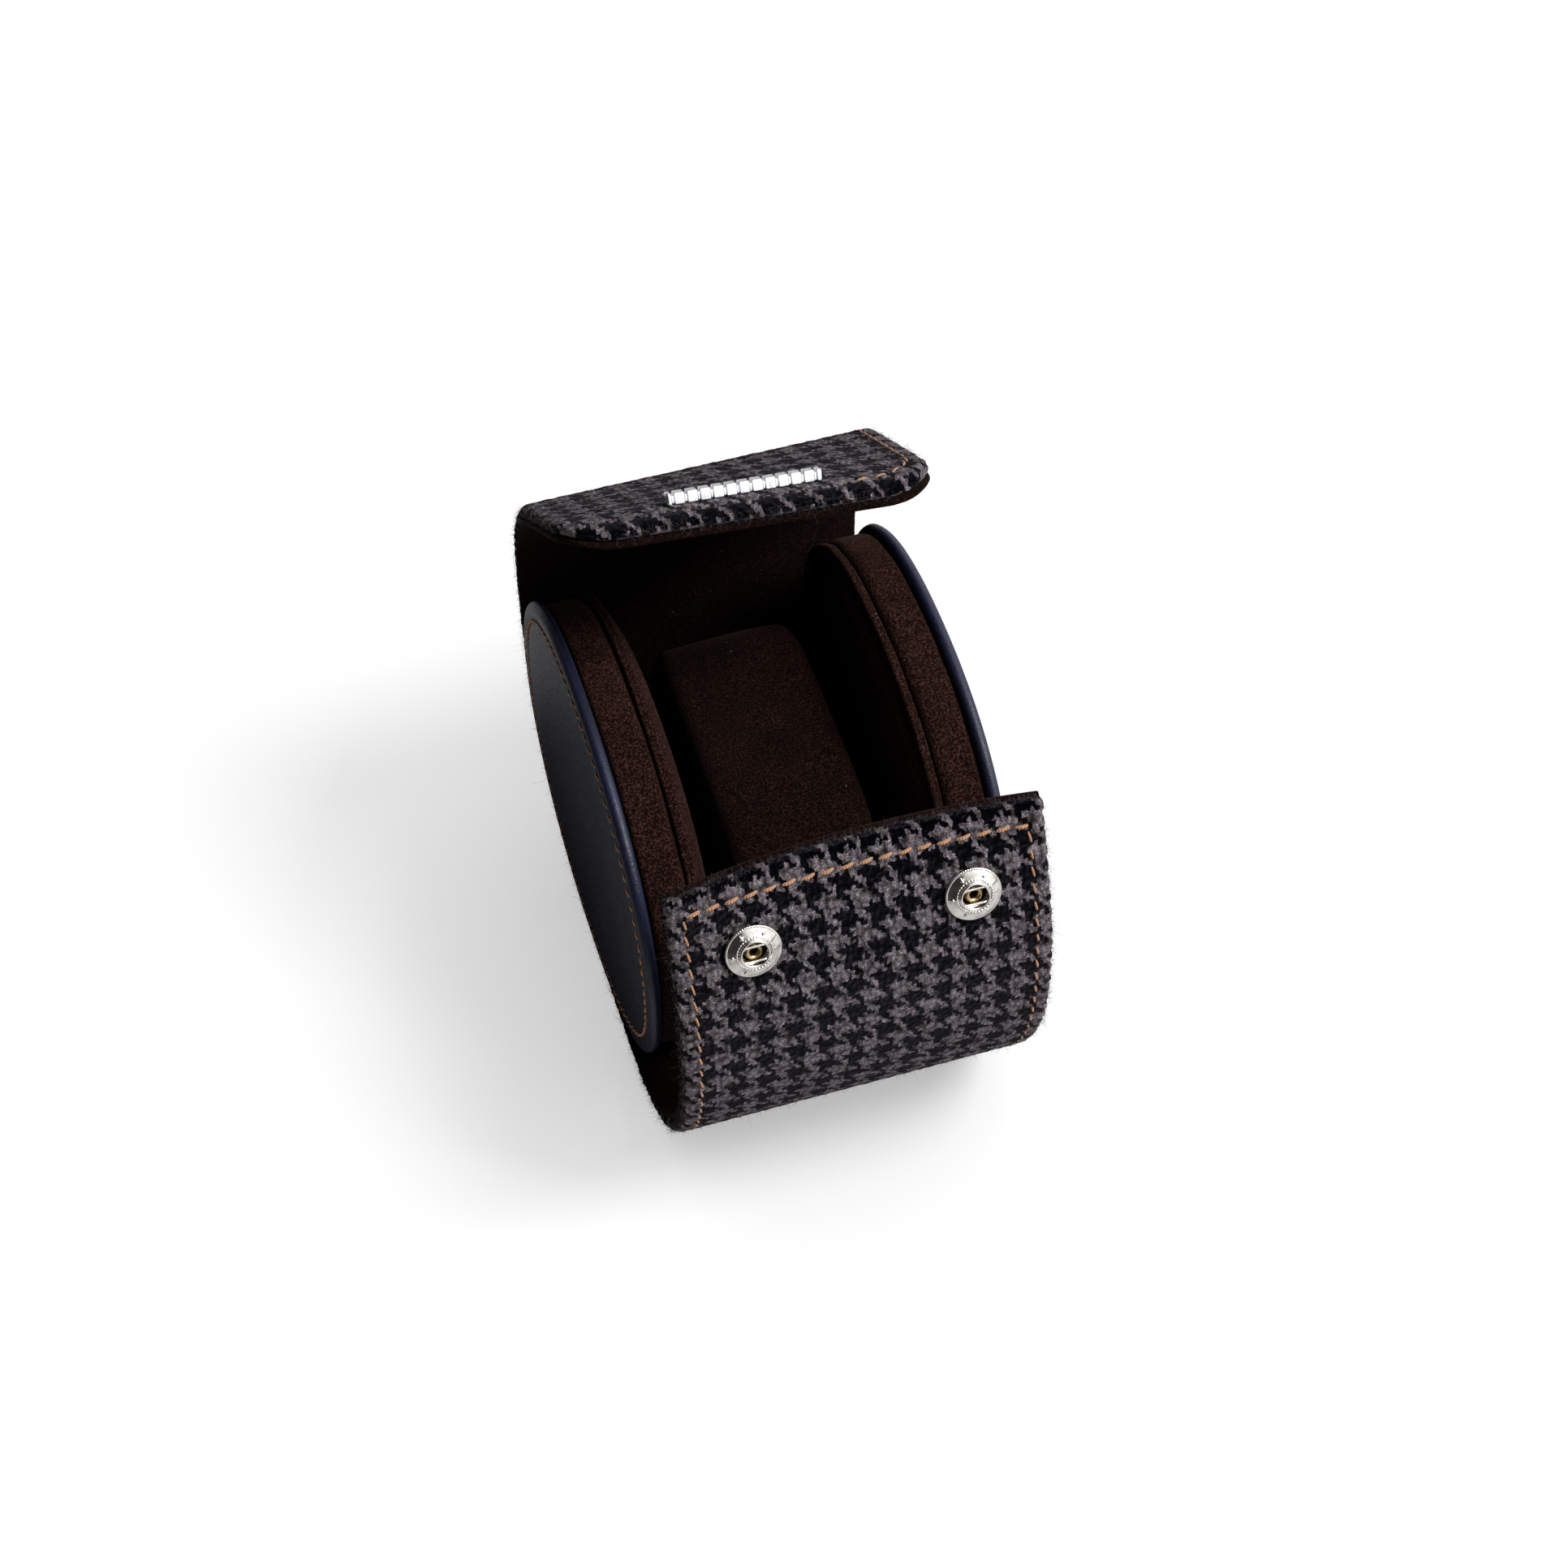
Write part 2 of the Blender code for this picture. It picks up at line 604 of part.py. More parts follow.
def make_end(side, sign, parts, cutters):
    """Makes one end of the case: leather face, suede-wrapped block and inner plate."""
    leather_far = WRAP_WIDTH / 2 + LEATHER_OVERHANG
    leather_near = leather_far - LEATHER_DEPTH
    band_far = leather_near - GAP
    band_near = band_far - BAND_DEPTH
    plate_far = band_near - GAP
    plate_near = plate_far - PLATE_THICK
    cover = hollowed(f"{side}_leather_cover", 0.0, leather_near, leather_far, LEATHER_THICK, LEATHER_LIP, sign, LEATHER_ROUND, False,
                     parts, cutters)
    finish(cover, "leather")
    board = oval_slab(f"{side}_face_board", LEATHER_THICK + GAP, leather_near + LEATHER_THICK + GAP,
                      leather_far - LEATHER_THICK - GAP, sign, parts)
    finish(board, "board")
    band = hollowed(f"{side}_side_band", BAND_INSET, band_near, band_far, BAND_THICK, BAND_LIP, sign, BAND_ROUND, True, parts, cutters)
    finish(band, "suede")
    block = oval_slab(f"{side}_side_block", BAND_INSET + BAND_THICK + GAP, band_near + BAND_THICK + GAP, band_far - BAND_THICK - GAP,
                      sign, parts)
    finish(block, "foam")
    plate = oval_slab(f"{side}_inner_plate", PLATE_INSET, plate_near, plate_far, sign, parts, PLATE_ROUND)
    pad = oval_slab(f"{side}_plate_pad", PLATE_INSET + PAD_INSET, plate_near - PAD_SWELL, plate_far - PLATE_THICK / 2, sign, cutters)
    round_edges(pad, min(PAD_ROUND, 0.98 * PAD_SWELL), 4)
    join(plate, pad)
    finish(plate, "suede")


def make_cushion(parts):
    """Makes the loose cushion that a watch is strapped around."""
    bottom = WRAP_THICK + SEAT_GAP
    half_height = (CUSHION_TOP - bottom) / 2
    centre = (CUSHION_CENTRE, bottom + half_height)
    crown = oval(CUSHION_DEPTH / 2, half_height, CUSHION_POWER, CUSHION_POINTS, centre)
    foot = oval(CUSHION_DEPTH / 2, half_height, CUSHION_FOOT_POWER, CUSHION_POINTS, centre)
    outline = [upper if upper[1] >= centre[1] else lower for upper, lower in zip(crown, foot)]
    ob = as_mesh(flat_outline("watch_cushion", outline, CUSHION_WIDTH, SIDE_VIEW, parts), parts)
    round_edges(ob, CUSHION_ROUND, 3)
    finish(ob, "suede")


def pivot(name, point, children, target):
    """Hangs the pieces that move together on an empty at their pivot."""
    empty = bpy.data.objects.new(name, None)
    empty.matrix_world = Matrix.Translation((0.0, point[0] * MM, point[1] * MM))
    target.objects.link(empty)
    for ob in children:
        ob.parent = empty
        ob.matrix_parent_inverse = empty.matrix_world.inverted()


def hang_moving_pieces(parts, cutters):
    """Hangs the front panel and the flap, with their fittings, on the places where the strip bends."""
    path = strip_outline()
    heel = next(p for p in path if p[0] > -HEEL_PIVOT_REACH and p[1] < BELLY_HEIGHT)
    fold = next(p for p in path if p[0] > 0 and p[1] > FOLD_PIVOT_HEIGHT)
    moving = {"panel": [], "flap": []}
    for ob in list(parts.objects) + list(cutters.objects):
        if ob.name.startswith("front_panel") or "socket" in ob.name or "snap_spring" in ob.name or "rivet_pocket" in ob.name:
            moving["panel"].append(ob)
        elif ob.name.startswith(("flap_", "trim_bar")) and "fold" not in ob.name or "stud" in ob.name or "pin_hole" in ob.name:
            moving["flap"].append(ob)
    pivot("front_panel_pivot", heel, moving["panel"], parts)
    pivot("flap_pivot", fold, moving["flap"], parts)


def centre_on_origin(parts, cutters):
    """Moves everything so that the case stands over the origin."""
    reach = [y for y, _ in strip_outline()]
    shift = Matrix.Translation((0.0, -(min(reach) + max(reach)) / 2 * MM, 0.0))
    for ob in list(parts.objects) + list(cutters.objects):
        if ob.parent is None:
            ob.matrix_world = shift @ ob.matrix_world


def main():
    """Builds the case."""
    clear_scene()
    parts = collection("Watch travel case")
    cutters = collection("Cutters")
    make_strip(parts, cutters)
    make_flap(parts, cutters)
    for side, sign in (("left", -1), ("right", 1)):
        make_end(side, sign, parts, cutters)
        make_socket(side, panel_frame(sign), parts)
        make_stud(side, stud_frame(sign), parts)
    make_bar(parts, cutters)
    make_cushion(parts)
    hang_moving_pieces(parts, cutters)
    centre_on_origin(parts, cutters)


if __name__ == "__main__":
    main()
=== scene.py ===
"""Dressed model of a travel case for one watch, standing open on a white studio floor.

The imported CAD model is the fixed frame. Lengths below are in millimetres, in the frame's own axes: +X to the case's
right, +Y to its back, +Z up. A mesh is turned to metres when it is made.
"""

import logging
import math
from collections.abc import Iterator
from contextlib import contextmanager
from dataclasses import dataclass, field
from enum import Enum

import bmesh
import bpy
import numpy as np
from mathutils import Matrix, Vector


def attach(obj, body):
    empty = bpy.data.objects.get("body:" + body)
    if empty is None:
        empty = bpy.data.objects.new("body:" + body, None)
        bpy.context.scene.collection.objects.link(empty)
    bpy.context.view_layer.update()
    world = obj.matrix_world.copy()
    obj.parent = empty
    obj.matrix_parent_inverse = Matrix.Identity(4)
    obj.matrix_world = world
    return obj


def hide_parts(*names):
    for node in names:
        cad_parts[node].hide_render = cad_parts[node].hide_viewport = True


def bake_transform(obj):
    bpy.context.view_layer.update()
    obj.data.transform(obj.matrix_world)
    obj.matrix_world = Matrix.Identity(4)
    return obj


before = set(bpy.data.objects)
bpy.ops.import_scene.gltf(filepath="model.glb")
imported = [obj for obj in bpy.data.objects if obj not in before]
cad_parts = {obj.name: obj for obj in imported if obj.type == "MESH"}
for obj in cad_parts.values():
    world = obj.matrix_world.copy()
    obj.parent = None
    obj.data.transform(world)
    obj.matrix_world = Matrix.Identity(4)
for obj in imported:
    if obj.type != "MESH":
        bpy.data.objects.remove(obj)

Array = np.ndarray
Finish = bpy.types.Material
Piece = bpy.types.Object
Socket = bpy.types.NodeSocket
Tree = bpy.types.NodeTree
Pair = tuple[float, float]
Triple = tuple[float, float, float]
MM = 0.001
LOG = logging.getLogger("watch_case")
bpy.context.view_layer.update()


class Side(Enum):
    """The two ends of the case."""

    LEFT = -1
    RIGHT = 1

    @property
    def word(self) -> str:
        """The side's name as it stands in node names."""
        return self.name.lower()


class Weave(Enum):
    """Names of the mesh attributes that materials read."""

    FLAT = "flat_cloth"
    ALONG = "along_thread"


def linear(hex_colour: str) -> tuple[float, float, float, float]:
    """Turns an sRGB hex value to linear light.

    Args:
        hex_colour: six hex digits after a hash.

    Returns:
        Linear red, green, blue, and an alpha of one.
    """
    parts = [int(hex_colour[i : i + 2], 16) / 255 for i in (1, 3, 5)]
    lit = [c / 12.92 if c <= 0.04045 else ((c + 0.055) / 1.055) ** 2.4 for c in parts]
    return lit[0], lit[1], lit[2], 1.0


def connect(tree: Tree, node: bpy.types.Node, inputs: dict) -> None:
    """Links a node's inputs to sockets, and sets those that are given as constants on the node itself."""
    for name, value in inputs.items():
        if isinstance(value, Socket):
            tree.links.new(value, node.inputs[name])
        else:
            node.inputs[name].default_value = value


def add(tree: Tree, kind: str, inputs: dict | None = None, **settings: object) -> bpy.types.Node:
    """Adds a node with its settings and links.

    Args:
        tree: the node tree that it goes into.
        kind: the node's class, without the leading "ShaderNode".
        inputs: values by socket name or number; a socket as a value is linked.
        settings: the node's own properties.

    Returns:
        The new node.
    """
    made = tree.nodes.new(f"ShaderNode{kind}")
    for name, value in settings.items():
        setattr(made, name, value)
    connect(tree, made, inputs or {})
    return made


def ramp(tree: Tree, value: Socket, stops: list[tuple[float, str]]) -> Socket:
    """Colours a value by stops.

    Args:
        tree: the node tree.
        value: the factor, from 0 to 1.
        stops: place and hex colour of each stop, in order.

    Returns:
        The ramp's colour socket.
    """
    made = add(tree, "ValToRGB", {0: value})
    elements = made.color_ramp.elements
    while len(elements) < len(stops):
        elements.new(1.0)
    for element, (place, colour) in zip(elements, stops):
        element.position = place
        element.color = linear(colour)
    return made.outputs[0]


def spread(tree: Tree, value: Socket, start: Pair, end: Pair = (0.0, 1.0), smooth: bool = False) -> Socket:
    """Carries a value from one range to another, and holds it at the ends.

    Args:
        tree: the node tree.
        value: the value.
        start: the range that it is read in.
        end: the range that it comes out in.
        smooth: whether it eases in and out.

    Returns:
        The new value's socket.
    """
    names = ("From Min", "From Max", "To Min", "To Max")
    way = "SMOOTHSTEP" if smooth else "LINEAR"
    return add(
        tree, "MapRange", {"Value": value, **dict(zip(names, (*start, *end)))}, interpolation_type=way
    ).outputs[0]


def maths(tree: Tree, operation: str, *values: Socket | float) -> Socket:
    """Adds a Math node on up to three values and gives its result."""
    return add(tree, "Math", dict(enumerate(values)), operation=operation).outputs[0]


def noise(tree: Tree, place: Socket, scale: float, detail: float, roughness: float = 0.5) -> Socket:
    """Adds a noise texture and gives its grey value."""
    inputs = {"Vector": place, "Scale": scale, "Detail": detail, "Roughness": roughness}
    return add(tree, "TexNoise", inputs).outputs[0]


def new_material(name: str) -> tuple[Finish, Tree, bpy.types.Node]:
    """Makes an empty Principled material.

    Args:
        name: the material's name.

    Returns:
        The material, its tree and its Principled node.
    """
    material = bpy.data.materials.new(name)
    material.use_nodes = True
    return material, material.node_tree, material.node_tree.nodes["Principled BSDF"]


@dataclass(frozen=True)
class HoundstoothWool:
    """Napped two-by-two twill wool, four grey and four navy yarns in turn both ways: a soft check of round tufts."""

    across_mm: float = 0.80
    along_mm: float = 1.02
    phase: Pair = (1.5, 6.0)
    grey: str = "#7a7076"
    grey_low: str = "#332c31"
    grey_high: str = "#d0c6ca"
    navy: str = "#010103"
    navy_high: str = "#0b0b14"
    wander: float = 1.6
    fuzz: float = 0.85
    nap_depth: float = 0.00055
    sheen: float = 0.22

    def material(self) -> Finish:
        """Builds the wool from its true yarns: each tuft is one place where the twill lifts a grey or a navy yarn."""
        material, tree, shader = new_material("napped_wool_houndstooth")
        uv = add(tree, "UVMap", uv_map=Weave.FLAT.value).outputs[0]
        place = add(tree, "TexCoord").outputs["Object"]
        yarns = (1 / (self.across_mm * MM), 1 / (self.along_mm * MM), 1.0)
        strayed = add(tree, "VectorMath", {0: uv, 1: yarns, 2: (*self.phase, 0.0)}, operation="MULTIPLY_ADD").outputs[0]
        for scale, detail, roughness, reach in ((300.0, 1.0, 0.5, self.wander), (3000.0, 3.0, 0.7, self.fuzz)):
            inputs = {"Vector": uv, "Scale": scale, "Detail": detail, "Roughness": roughness}
            loose = add(tree, "TexNoise", inputs).outputs["Color"]
            sway = add(tree, "VectorMath", {0: loose, 1: (0.5, 0.5, 0.5)}, operation="SUBTRACT").outputs[0]
            moved = {0: sway, 1: (reach, reach, 0.0), 2: strayed}
            strayed = add(tree, "VectorMath", moved, operation="MULTIPLY_ADD").outputs[0]
        tuft = add(tree, "TexVoronoi", {"Vector": strayed, "Scale": 1.0, "Randomness": 0.62}, voronoi_dimensions="2D")
        split = add(tree, "SeparateXYZ", {0: tuft.outputs["Position"]}).outputs
        whole = [maths(tree, "FLOOR", split[k]) for k in (0, 1)]
        light = [maths(tree, "LESS_THAN", maths(tree, "FLOORED_MODULO", count, 8.0), 3.5) for count in whole]
        step = maths(tree, "SUBTRACT", whole[0], whole[1])
        lift = maths(tree, "FLOORED_MODULO", step, 4.0)
        warp = maths(tree, "LESS_THAN", lift, 1.5)
        check = add(tree, "Mix", {0: warp, 2: light[1], 3: light[0]}).outputs[0]
        melange = noise(tree, place, 3400.0, 3.0, 0.7)
        grey = ramp(tree, melange, [(0.34, self.grey_low), (0.5, self.grey), (0.68, self.grey_high)])
        navy = ramp(tree, melange, [(0.42, self.navy), (0.75, self.navy_high)])
        yarn = add(tree, "Mix", {0: check, 6: navy, 7: grey}, data_type="RGBA").outputs[2]
        lump = add(tree, "TexVoronoi", {"Vector": strayed, "Scale": 0.6, "Randomness": 0.8}, voronoi_dimensions="2D")
        # Painted shade and highlight: the tuft colour is darkened in the gaps between lumps and brightened on their
        # crowns.
        painted_tuft_shade = spread(tree, lump.outputs["Distance"], (0.12, 0.8), (1.3, 0.14))
        patch = noise(tree, uv, 420.0, 2.0)
        shade = spread(tree, patch, (0.3, 0.7), (0.62, 1.35))
        # This painted tuft shade is multiplied by a random patchy tone.
        depth = maths(tree, "MULTIPLY", painted_tuft_shade, shade)
        colour = add(tree, "VectorMath", {0: yarn, "Scale": depth}, operation="SCALE").outputs[0]
        dome = spread(tree, lump.outputs["Distance"], (0.0, 0.8), (1.0, 0.0), smooth=True)
        nap = noise(tree, place, 4200.0, 3.0, 0.75)
        height = maths(tree, "MULTIPLY_ADD", nap, 0.75, dome)
        bump = add(tree, "Bump", {"Strength": 1.0, "Distance": self.nap_depth, "Height": height}).outputs[0]
        connect(tree, shader, {"Base Color": colour, "Normal": bump, "Roughness": 0.95, "Specular IOR Level": 0.03})
        sheen = {"Sheen Weight": self.sheen, "Sheen Roughness": 0.15, "Sheen Tint": linear("#c6bdc6")}
        connect(tree, shader, sheen)
        return material


@dataclass(frozen=True)
class Suede:
    """Buffed split leather: a matt dark brown nap with fine light and dark grains and a few specks of lint."""

    base: str = "#1d100e"
    low: str = "#070303"
    high: str = "#5a3a31"
    name: str = "dark_brown_suede"

    def material(self) -> Finish:
        """Builds the nap from two grains of noise, and broad cloudy marks where it was stroked."""
        material, tree, shader = new_material(self.name)
        place = add(tree, "TexCoord").outputs["Object"]
        grain = noise(tree, place, 2100.0, 4.0, 0.8)
        cloud = noise(tree, place, 120.0, 3.0)
        nap = ramp(tree, grain, [(0.40, self.low), (0.5, self.base), (0.63, self.high)])
        half = spread(tree, cloud, (0.35, 0.75), (0.0, 0.4))
        stroked = add(tree, "Mix", {0: half, 6: nap, 7: linear(self.low)}, data_type="RGBA").outputs[2]
        lint = add(tree, "TexVoronoi", {"Vector": place, "Scale": 640.0, "Randomness": 1.0})
        near = maths(tree, "LESS_THAN", lint.outputs["Distance"], 0.06)
        pick = add(tree, "SeparateColor", {0: lint.outputs["Color"]}).outputs[0]
        few = maths(tree, "GREATER_THAN", pick, 0.93)
        speck = maths(tree, "MULTIPLY", near, few)
        colour = add(tree, "Mix", {0: speck, 6: stroked, 7: linear("#c9bfbb")}, data_type="RGBA").outputs[2]
        coarse = noise(tree, place, 1500.0, 3.0, 0.7)
        bump = add(tree, "Bump", {"Strength": 0.8, "Distance": 0.00014, "Height": coarse}).outputs[0]
        connect(tree, shader, {"Base Color": colour, "Normal": bump, "Roughness": 1.0, "Specular IOR Level": 0.05})
        connect(tree, shader, {"Sheen Weight": 0.07, "Sheen Roughness": 0.5, "Sheen Tint": linear("#8d6f66")})
        return material


@dataclass(frozen=True)
class GrainedLeather:
    """Full-grain calf, finished navy: a semi-matt face with fine pebbles, glossier where the rim is rolled."""

    base: str = "#161b36"
    low: str = "#0f1329"

    def material(self) -> Finish:
        """Builds the pebbled grain from small cells and a faint wrinkle."""
        material, tree, shader = new_material("navy_full_grain_leather")
        place = add(tree, "TexCoord").outputs["Object"]
        pebble = add(
            tree, "TexVoronoi", {"Vector": place, "Scale": 2300.0, "Smoothness": 0.6}, feature="SMOOTH_F1"
        ).outputs["Distance"]
        wrinkle = add(tree, "TexNoise", {"Vector": place, "Scale": 900.0, "Detail": 3.0, "Distortion": 0.6}).outputs[0]
        tone = noise(tree, place, 70.0, 3.0)
        colour = ramp(tree, tone, [(0.35, self.low), (0.65, self.base)])
        height = maths(tree, "MULTIPLY_ADD", wrinkle, 0.8, pebble)
        bump = add(tree, "Bump", {"Strength": 0.45, "Distance": 0.00012, "Height": height}).outputs[0]
        gloss = spread(tree, wrinkle, (0.3, 0.7), (0.42, 0.58))
        connect(tree, shader, {"Base Color": colour, "Normal": bump, "Roughness": gloss, "Specular IOR Level": 0.38})
        return material


@dataclass(frozen=True)
class SpunThread:
    """Three-ply polyester sewing thread, copper tan: slanted plies with a light sheen."""

    base: str = "#cd8957"
    low: str = "#7a4324"
    high: str = "#f2bd94"

    def material(self) -> Finish:
        """Builds the plies as slanted stripes round the thread, 0.45 mm apart."""
        material, tree, shader = new_material("copper_polyester_thread")
        uv = add(tree, "UVMap", uv_map=Weave.ALONG.value).outputs[0]
        ply = add(
            tree, "TexWave", {"Vector": uv, "Scale": 0.5, "Distortion": 0.6}, bands_direction="DIAGONAL"
        ).outputs[1]
        # Painted shade and highlight: the colour follows the ply height, dark in the grooves between plies and pale on
        # their crests.
        colour = ramp(tree, ply, [(0.05, self.low), (0.4, self.base), (0.95, self.high)])
        bump = add(tree, "Bump", {"Strength": 0.6, "Distance": 0.0001, "Height": ply}).outputs[0]
        connect(tree, shader, {"Base Color": colour, "Normal": bump, "Roughness": 0.6, "Sheen Weight": 0.2})
        return material


@dataclass(frozen=True)
class PlatedMetal:
    """Pressed and plated metal: bright, with fine rubbing marks that leave it duller in random patches."""

    name: str
    bright: str
    dull: str
    roughness: float = 0.09

    def material(self) -> Finish:
        """Builds the plating with a fine wear pattern in its gloss."""
        material, tree, shader = new_material(self.name)
        place = add(tree, "TexCoord").outputs["Object"]
        wear = noise(tree, place, 500.0, 3.0, 0.5)
        colour = ramp(tree, wear, [(0.3, self.dull), (0.6, self.bright)])
        gloss = spread(tree, wear, (0.3, 0.8), (self.roughness * 1.3, self.roughness * 0.7))
        connect(tree, shader, {"Base Color": colour, "Roughness": gloss, "Metallic": 1.0})
        return material


@dataclass(frozen=True)
class PlainFill:
    """Hidden stiffening: pressed board, foam or bonded felt, with a fleck."""

    name: str
    base: str
    fleck: str

    def material(self) -> Finish:
        """Builds the fleck from one fine noise."""
        material, tree, shader = new_material(self.name)
        place = add(tree, "TexCoord").outputs["Object"]
        grain = noise(tree, place, 1600.0, 3.0)
        colour = ramp(tree, grain, [(0.35, self.base), (0.7, self.fleck)])
        connect(tree, shader, {"Base Color": colour, "Roughness": 0.92})
        return material


@dataclass
class Finishes:
    """The case's materials, each made once."""

    wool: Finish = field(default_factory=HoundstoothWool().material)
    suede: Finish = field(default_factory=Suede().material)
    # A darker copy of the same suede for the inside of the case: painted shade.
    shaded_suede: Finish = field(default_factory=Suede("#110807", "#020100", "#38221d", "brown_suede_painted_shade").material)
    leather: Finish = field(default_factory=GrainedLeather().material)
    fibre: Finish = field(default_factory=PlainFill("loose_wool_fibre", "#17151a", "#80777c").material)
    thread: Finish = field(default_factory=SpunThread().material)
    nickel: Finish = field(default_factory=PlatedMetal("bright_nickel_plate", "#dedbd6", "#b4afa8").material)
    brass: Finish = field(default_factory=PlatedMetal("worn_brass_rivet", "#b9a27c", "#6e5a3c", 0.28).material)
    chrome: Finish = field(default_factory=PlatedMetal("polished_chrome", "#eeeef0", "#d4d4d8", 0.08).material)
    board: Finish = field(default_factory=PlainFill("pressed_greyboard", "#8f8577", "#b0a695").material)
    foam: Finish = field(default_factory=PlainFill("charcoal_foam", "#2c2c2f", "#3b3b3f").material)
    felt: Finish = field(default_factory=PlainFill("bonded_dark_felt", "#1c1718", "#2c2426").material)


def mesh_object(
    name: str,
    points: Array,
    faces: Array | list,
    material: Finish,
    uv: Array | None = None,
    uv_name: str = Weave.FLAT.value,
) -> Piece:
    """Makes a smooth mesh piece from arrays.

    Args:
        name: the piece's name.
        points: corners in millimetres, one row each.
        faces: corner numbers of each face.
        material: its finish.
        uv: a place in the flat for each corner, or None.
        uv_name: the name of that map.

    Returns:
        The new object, which stands at the origin.
    """
    mesh = bpy.data.meshes.new(name)
    mesh.from_pydata(
        (np.asarray(points, float) * MM).tolist(), [], np.asarray(faces).tolist() if isinstance(faces, Array) else faces
    )
    mesh.validate()
    if uv is not None:
        corner = np.empty(len(mesh.loops), np.int32)
        mesh.loops.foreach_get("vertex_index", corner)
        mesh.uv_layers.new(name=uv_name).data.foreach_set("uv", np.asarray(uv, np.float32)[corner].ravel())
    mesh.polygons.foreach_set("use_smooth", np.ones(len(mesh.polygons), bool))
    mesh.materials.append(material)
    made = bpy.data.objects.new(name, mesh)
    bpy.context.scene.collection.objects.link(made)
    return made


def grid_faces(rows: int, columns: int, wrap_rows: bool = False, wrap_columns: bool = False, start: int = 0) -> Array:
    """Numbers the quads of a grid of points.

    Args:
        rows: points along the first way.
        columns: points along the second way.
        wrap_rows: whether the last row meets the first.
        wrap_columns: whether the last column meets the first.
        start: the number of the grid's first point.

    Returns:
        Four corner numbers for each quad.
    """
    r = np.arange(rows if wrap_rows else rows - 1)
    c = np.arange(columns if wrap_columns else columns - 1)
    r0, c0 = (a.ravel() for a in np.meshgrid(r, c, indexing="ij"))
    r1, c1 = (r0 + 1) % rows, (c0 + 1) % columns
    return np.stack([r0 * columns + c0, r0 * columns + c1, r1 * columns + c1, r1 * columns + c0], 1) + start


def superellipse(
    angle: Array, half_a: Array | float, half_b: Array | float, power: Array | float
) -> tuple[Array, Array]:
    """Points of |a|^n + |b|^n = 1 by angle.

    Args:
        angle: radians.
        half_a: half the width.
        half_b: half the height.
        power: the exponent n; 2 is an ellipse, more is boxier.

    Returns:
        The two coordinates.
    """
    c, s = np.cos(angle), np.sin(angle)
    return half_a * np.copysign(np.abs(c) ** (2 / power), c), half_b * np.copysign(np.abs(s) ** (2 / power), s)


def ripple(u: Array, v: Array, seed: int, length: float, octaves: int = 3) -> Array:
    """A smooth random field: a sum of slanted waves with lengths round the one given.

    Args:
        u: first coordinate, in millimetres.
        v: second coordinate, in millimetres.
        seed: starts the random phases.
        length: the longest wave, in millimetres.
        octaves: how many times the waves halve.

    Returns:
        Values of about -1 to 1.
    """
    chance = np.random.default_rng(seed)
    total = np.zeros(np.broadcast(u, v).shape)
    for octave in range(octaves):
        for _ in range(5):
            turn, phase = chance.uniform(0, 2 * math.pi, 2)
            wave = 2 * math.pi * 2**octave / (length * chance.uniform(0.8, 1.3))
            total = total + 0.6**octave * np.sin(wave * (u * math.cos(turn) + v * math.sin(turn)) + phase)
    return total / 4.0


def bell(away: Array, width: float) -> Array:
    """A bell curve: 1 where the distance is 0, and falling off over the width."""
    return np.exp(-((away / width) ** 2))


@dataclass
class Oval:
    """The outline of an end, and the room that the strip keeps round it."""

    depth: float = 106.6
    height: float = 88.0
    power: float = 2.2
    seat: float = 0.35
    wrap: float = 4.2
    shift: float = 8.925

    @property
    def centre(self) -> Pair:
        """The outline's middle, in Y and Z."""
        return self.shift, self.wrap + self.seat + self.height / 2

    def ring(self, angle: Array, inset: Array | float, shrink: Array | float = 1.0) -> tuple[Array, Array]:
        """Y and Z of the outline, drawn in by the inset and then shrunk towards its middle."""
        y, z = superellipse(angle, (self.depth / 2 - inset) * shrink, (self.height / 2 - inset) * shrink, self.power)
        return self.centre[0] + y, self.centre[1] + z

    def outside(self, degrees: Array, offset: float) -> Array:
        """Points at a distance outside the outline, by angle."""
        angle = np.radians(degrees)
        y, z = superellipse(angle, self.depth / 2, self.height / 2, self.power)
        sides = ((y, self.depth), (z, self.height))
        slope = np.stack([np.copysign(np.abs(2 * v / size) ** (self.power - 1), v) / size for v, size in sides], 1)
        slope /= np.linalg.norm(slope, axis=1)[:, None]
        return np.stack([y, z + self.centre[1]], 1) + offset * slope


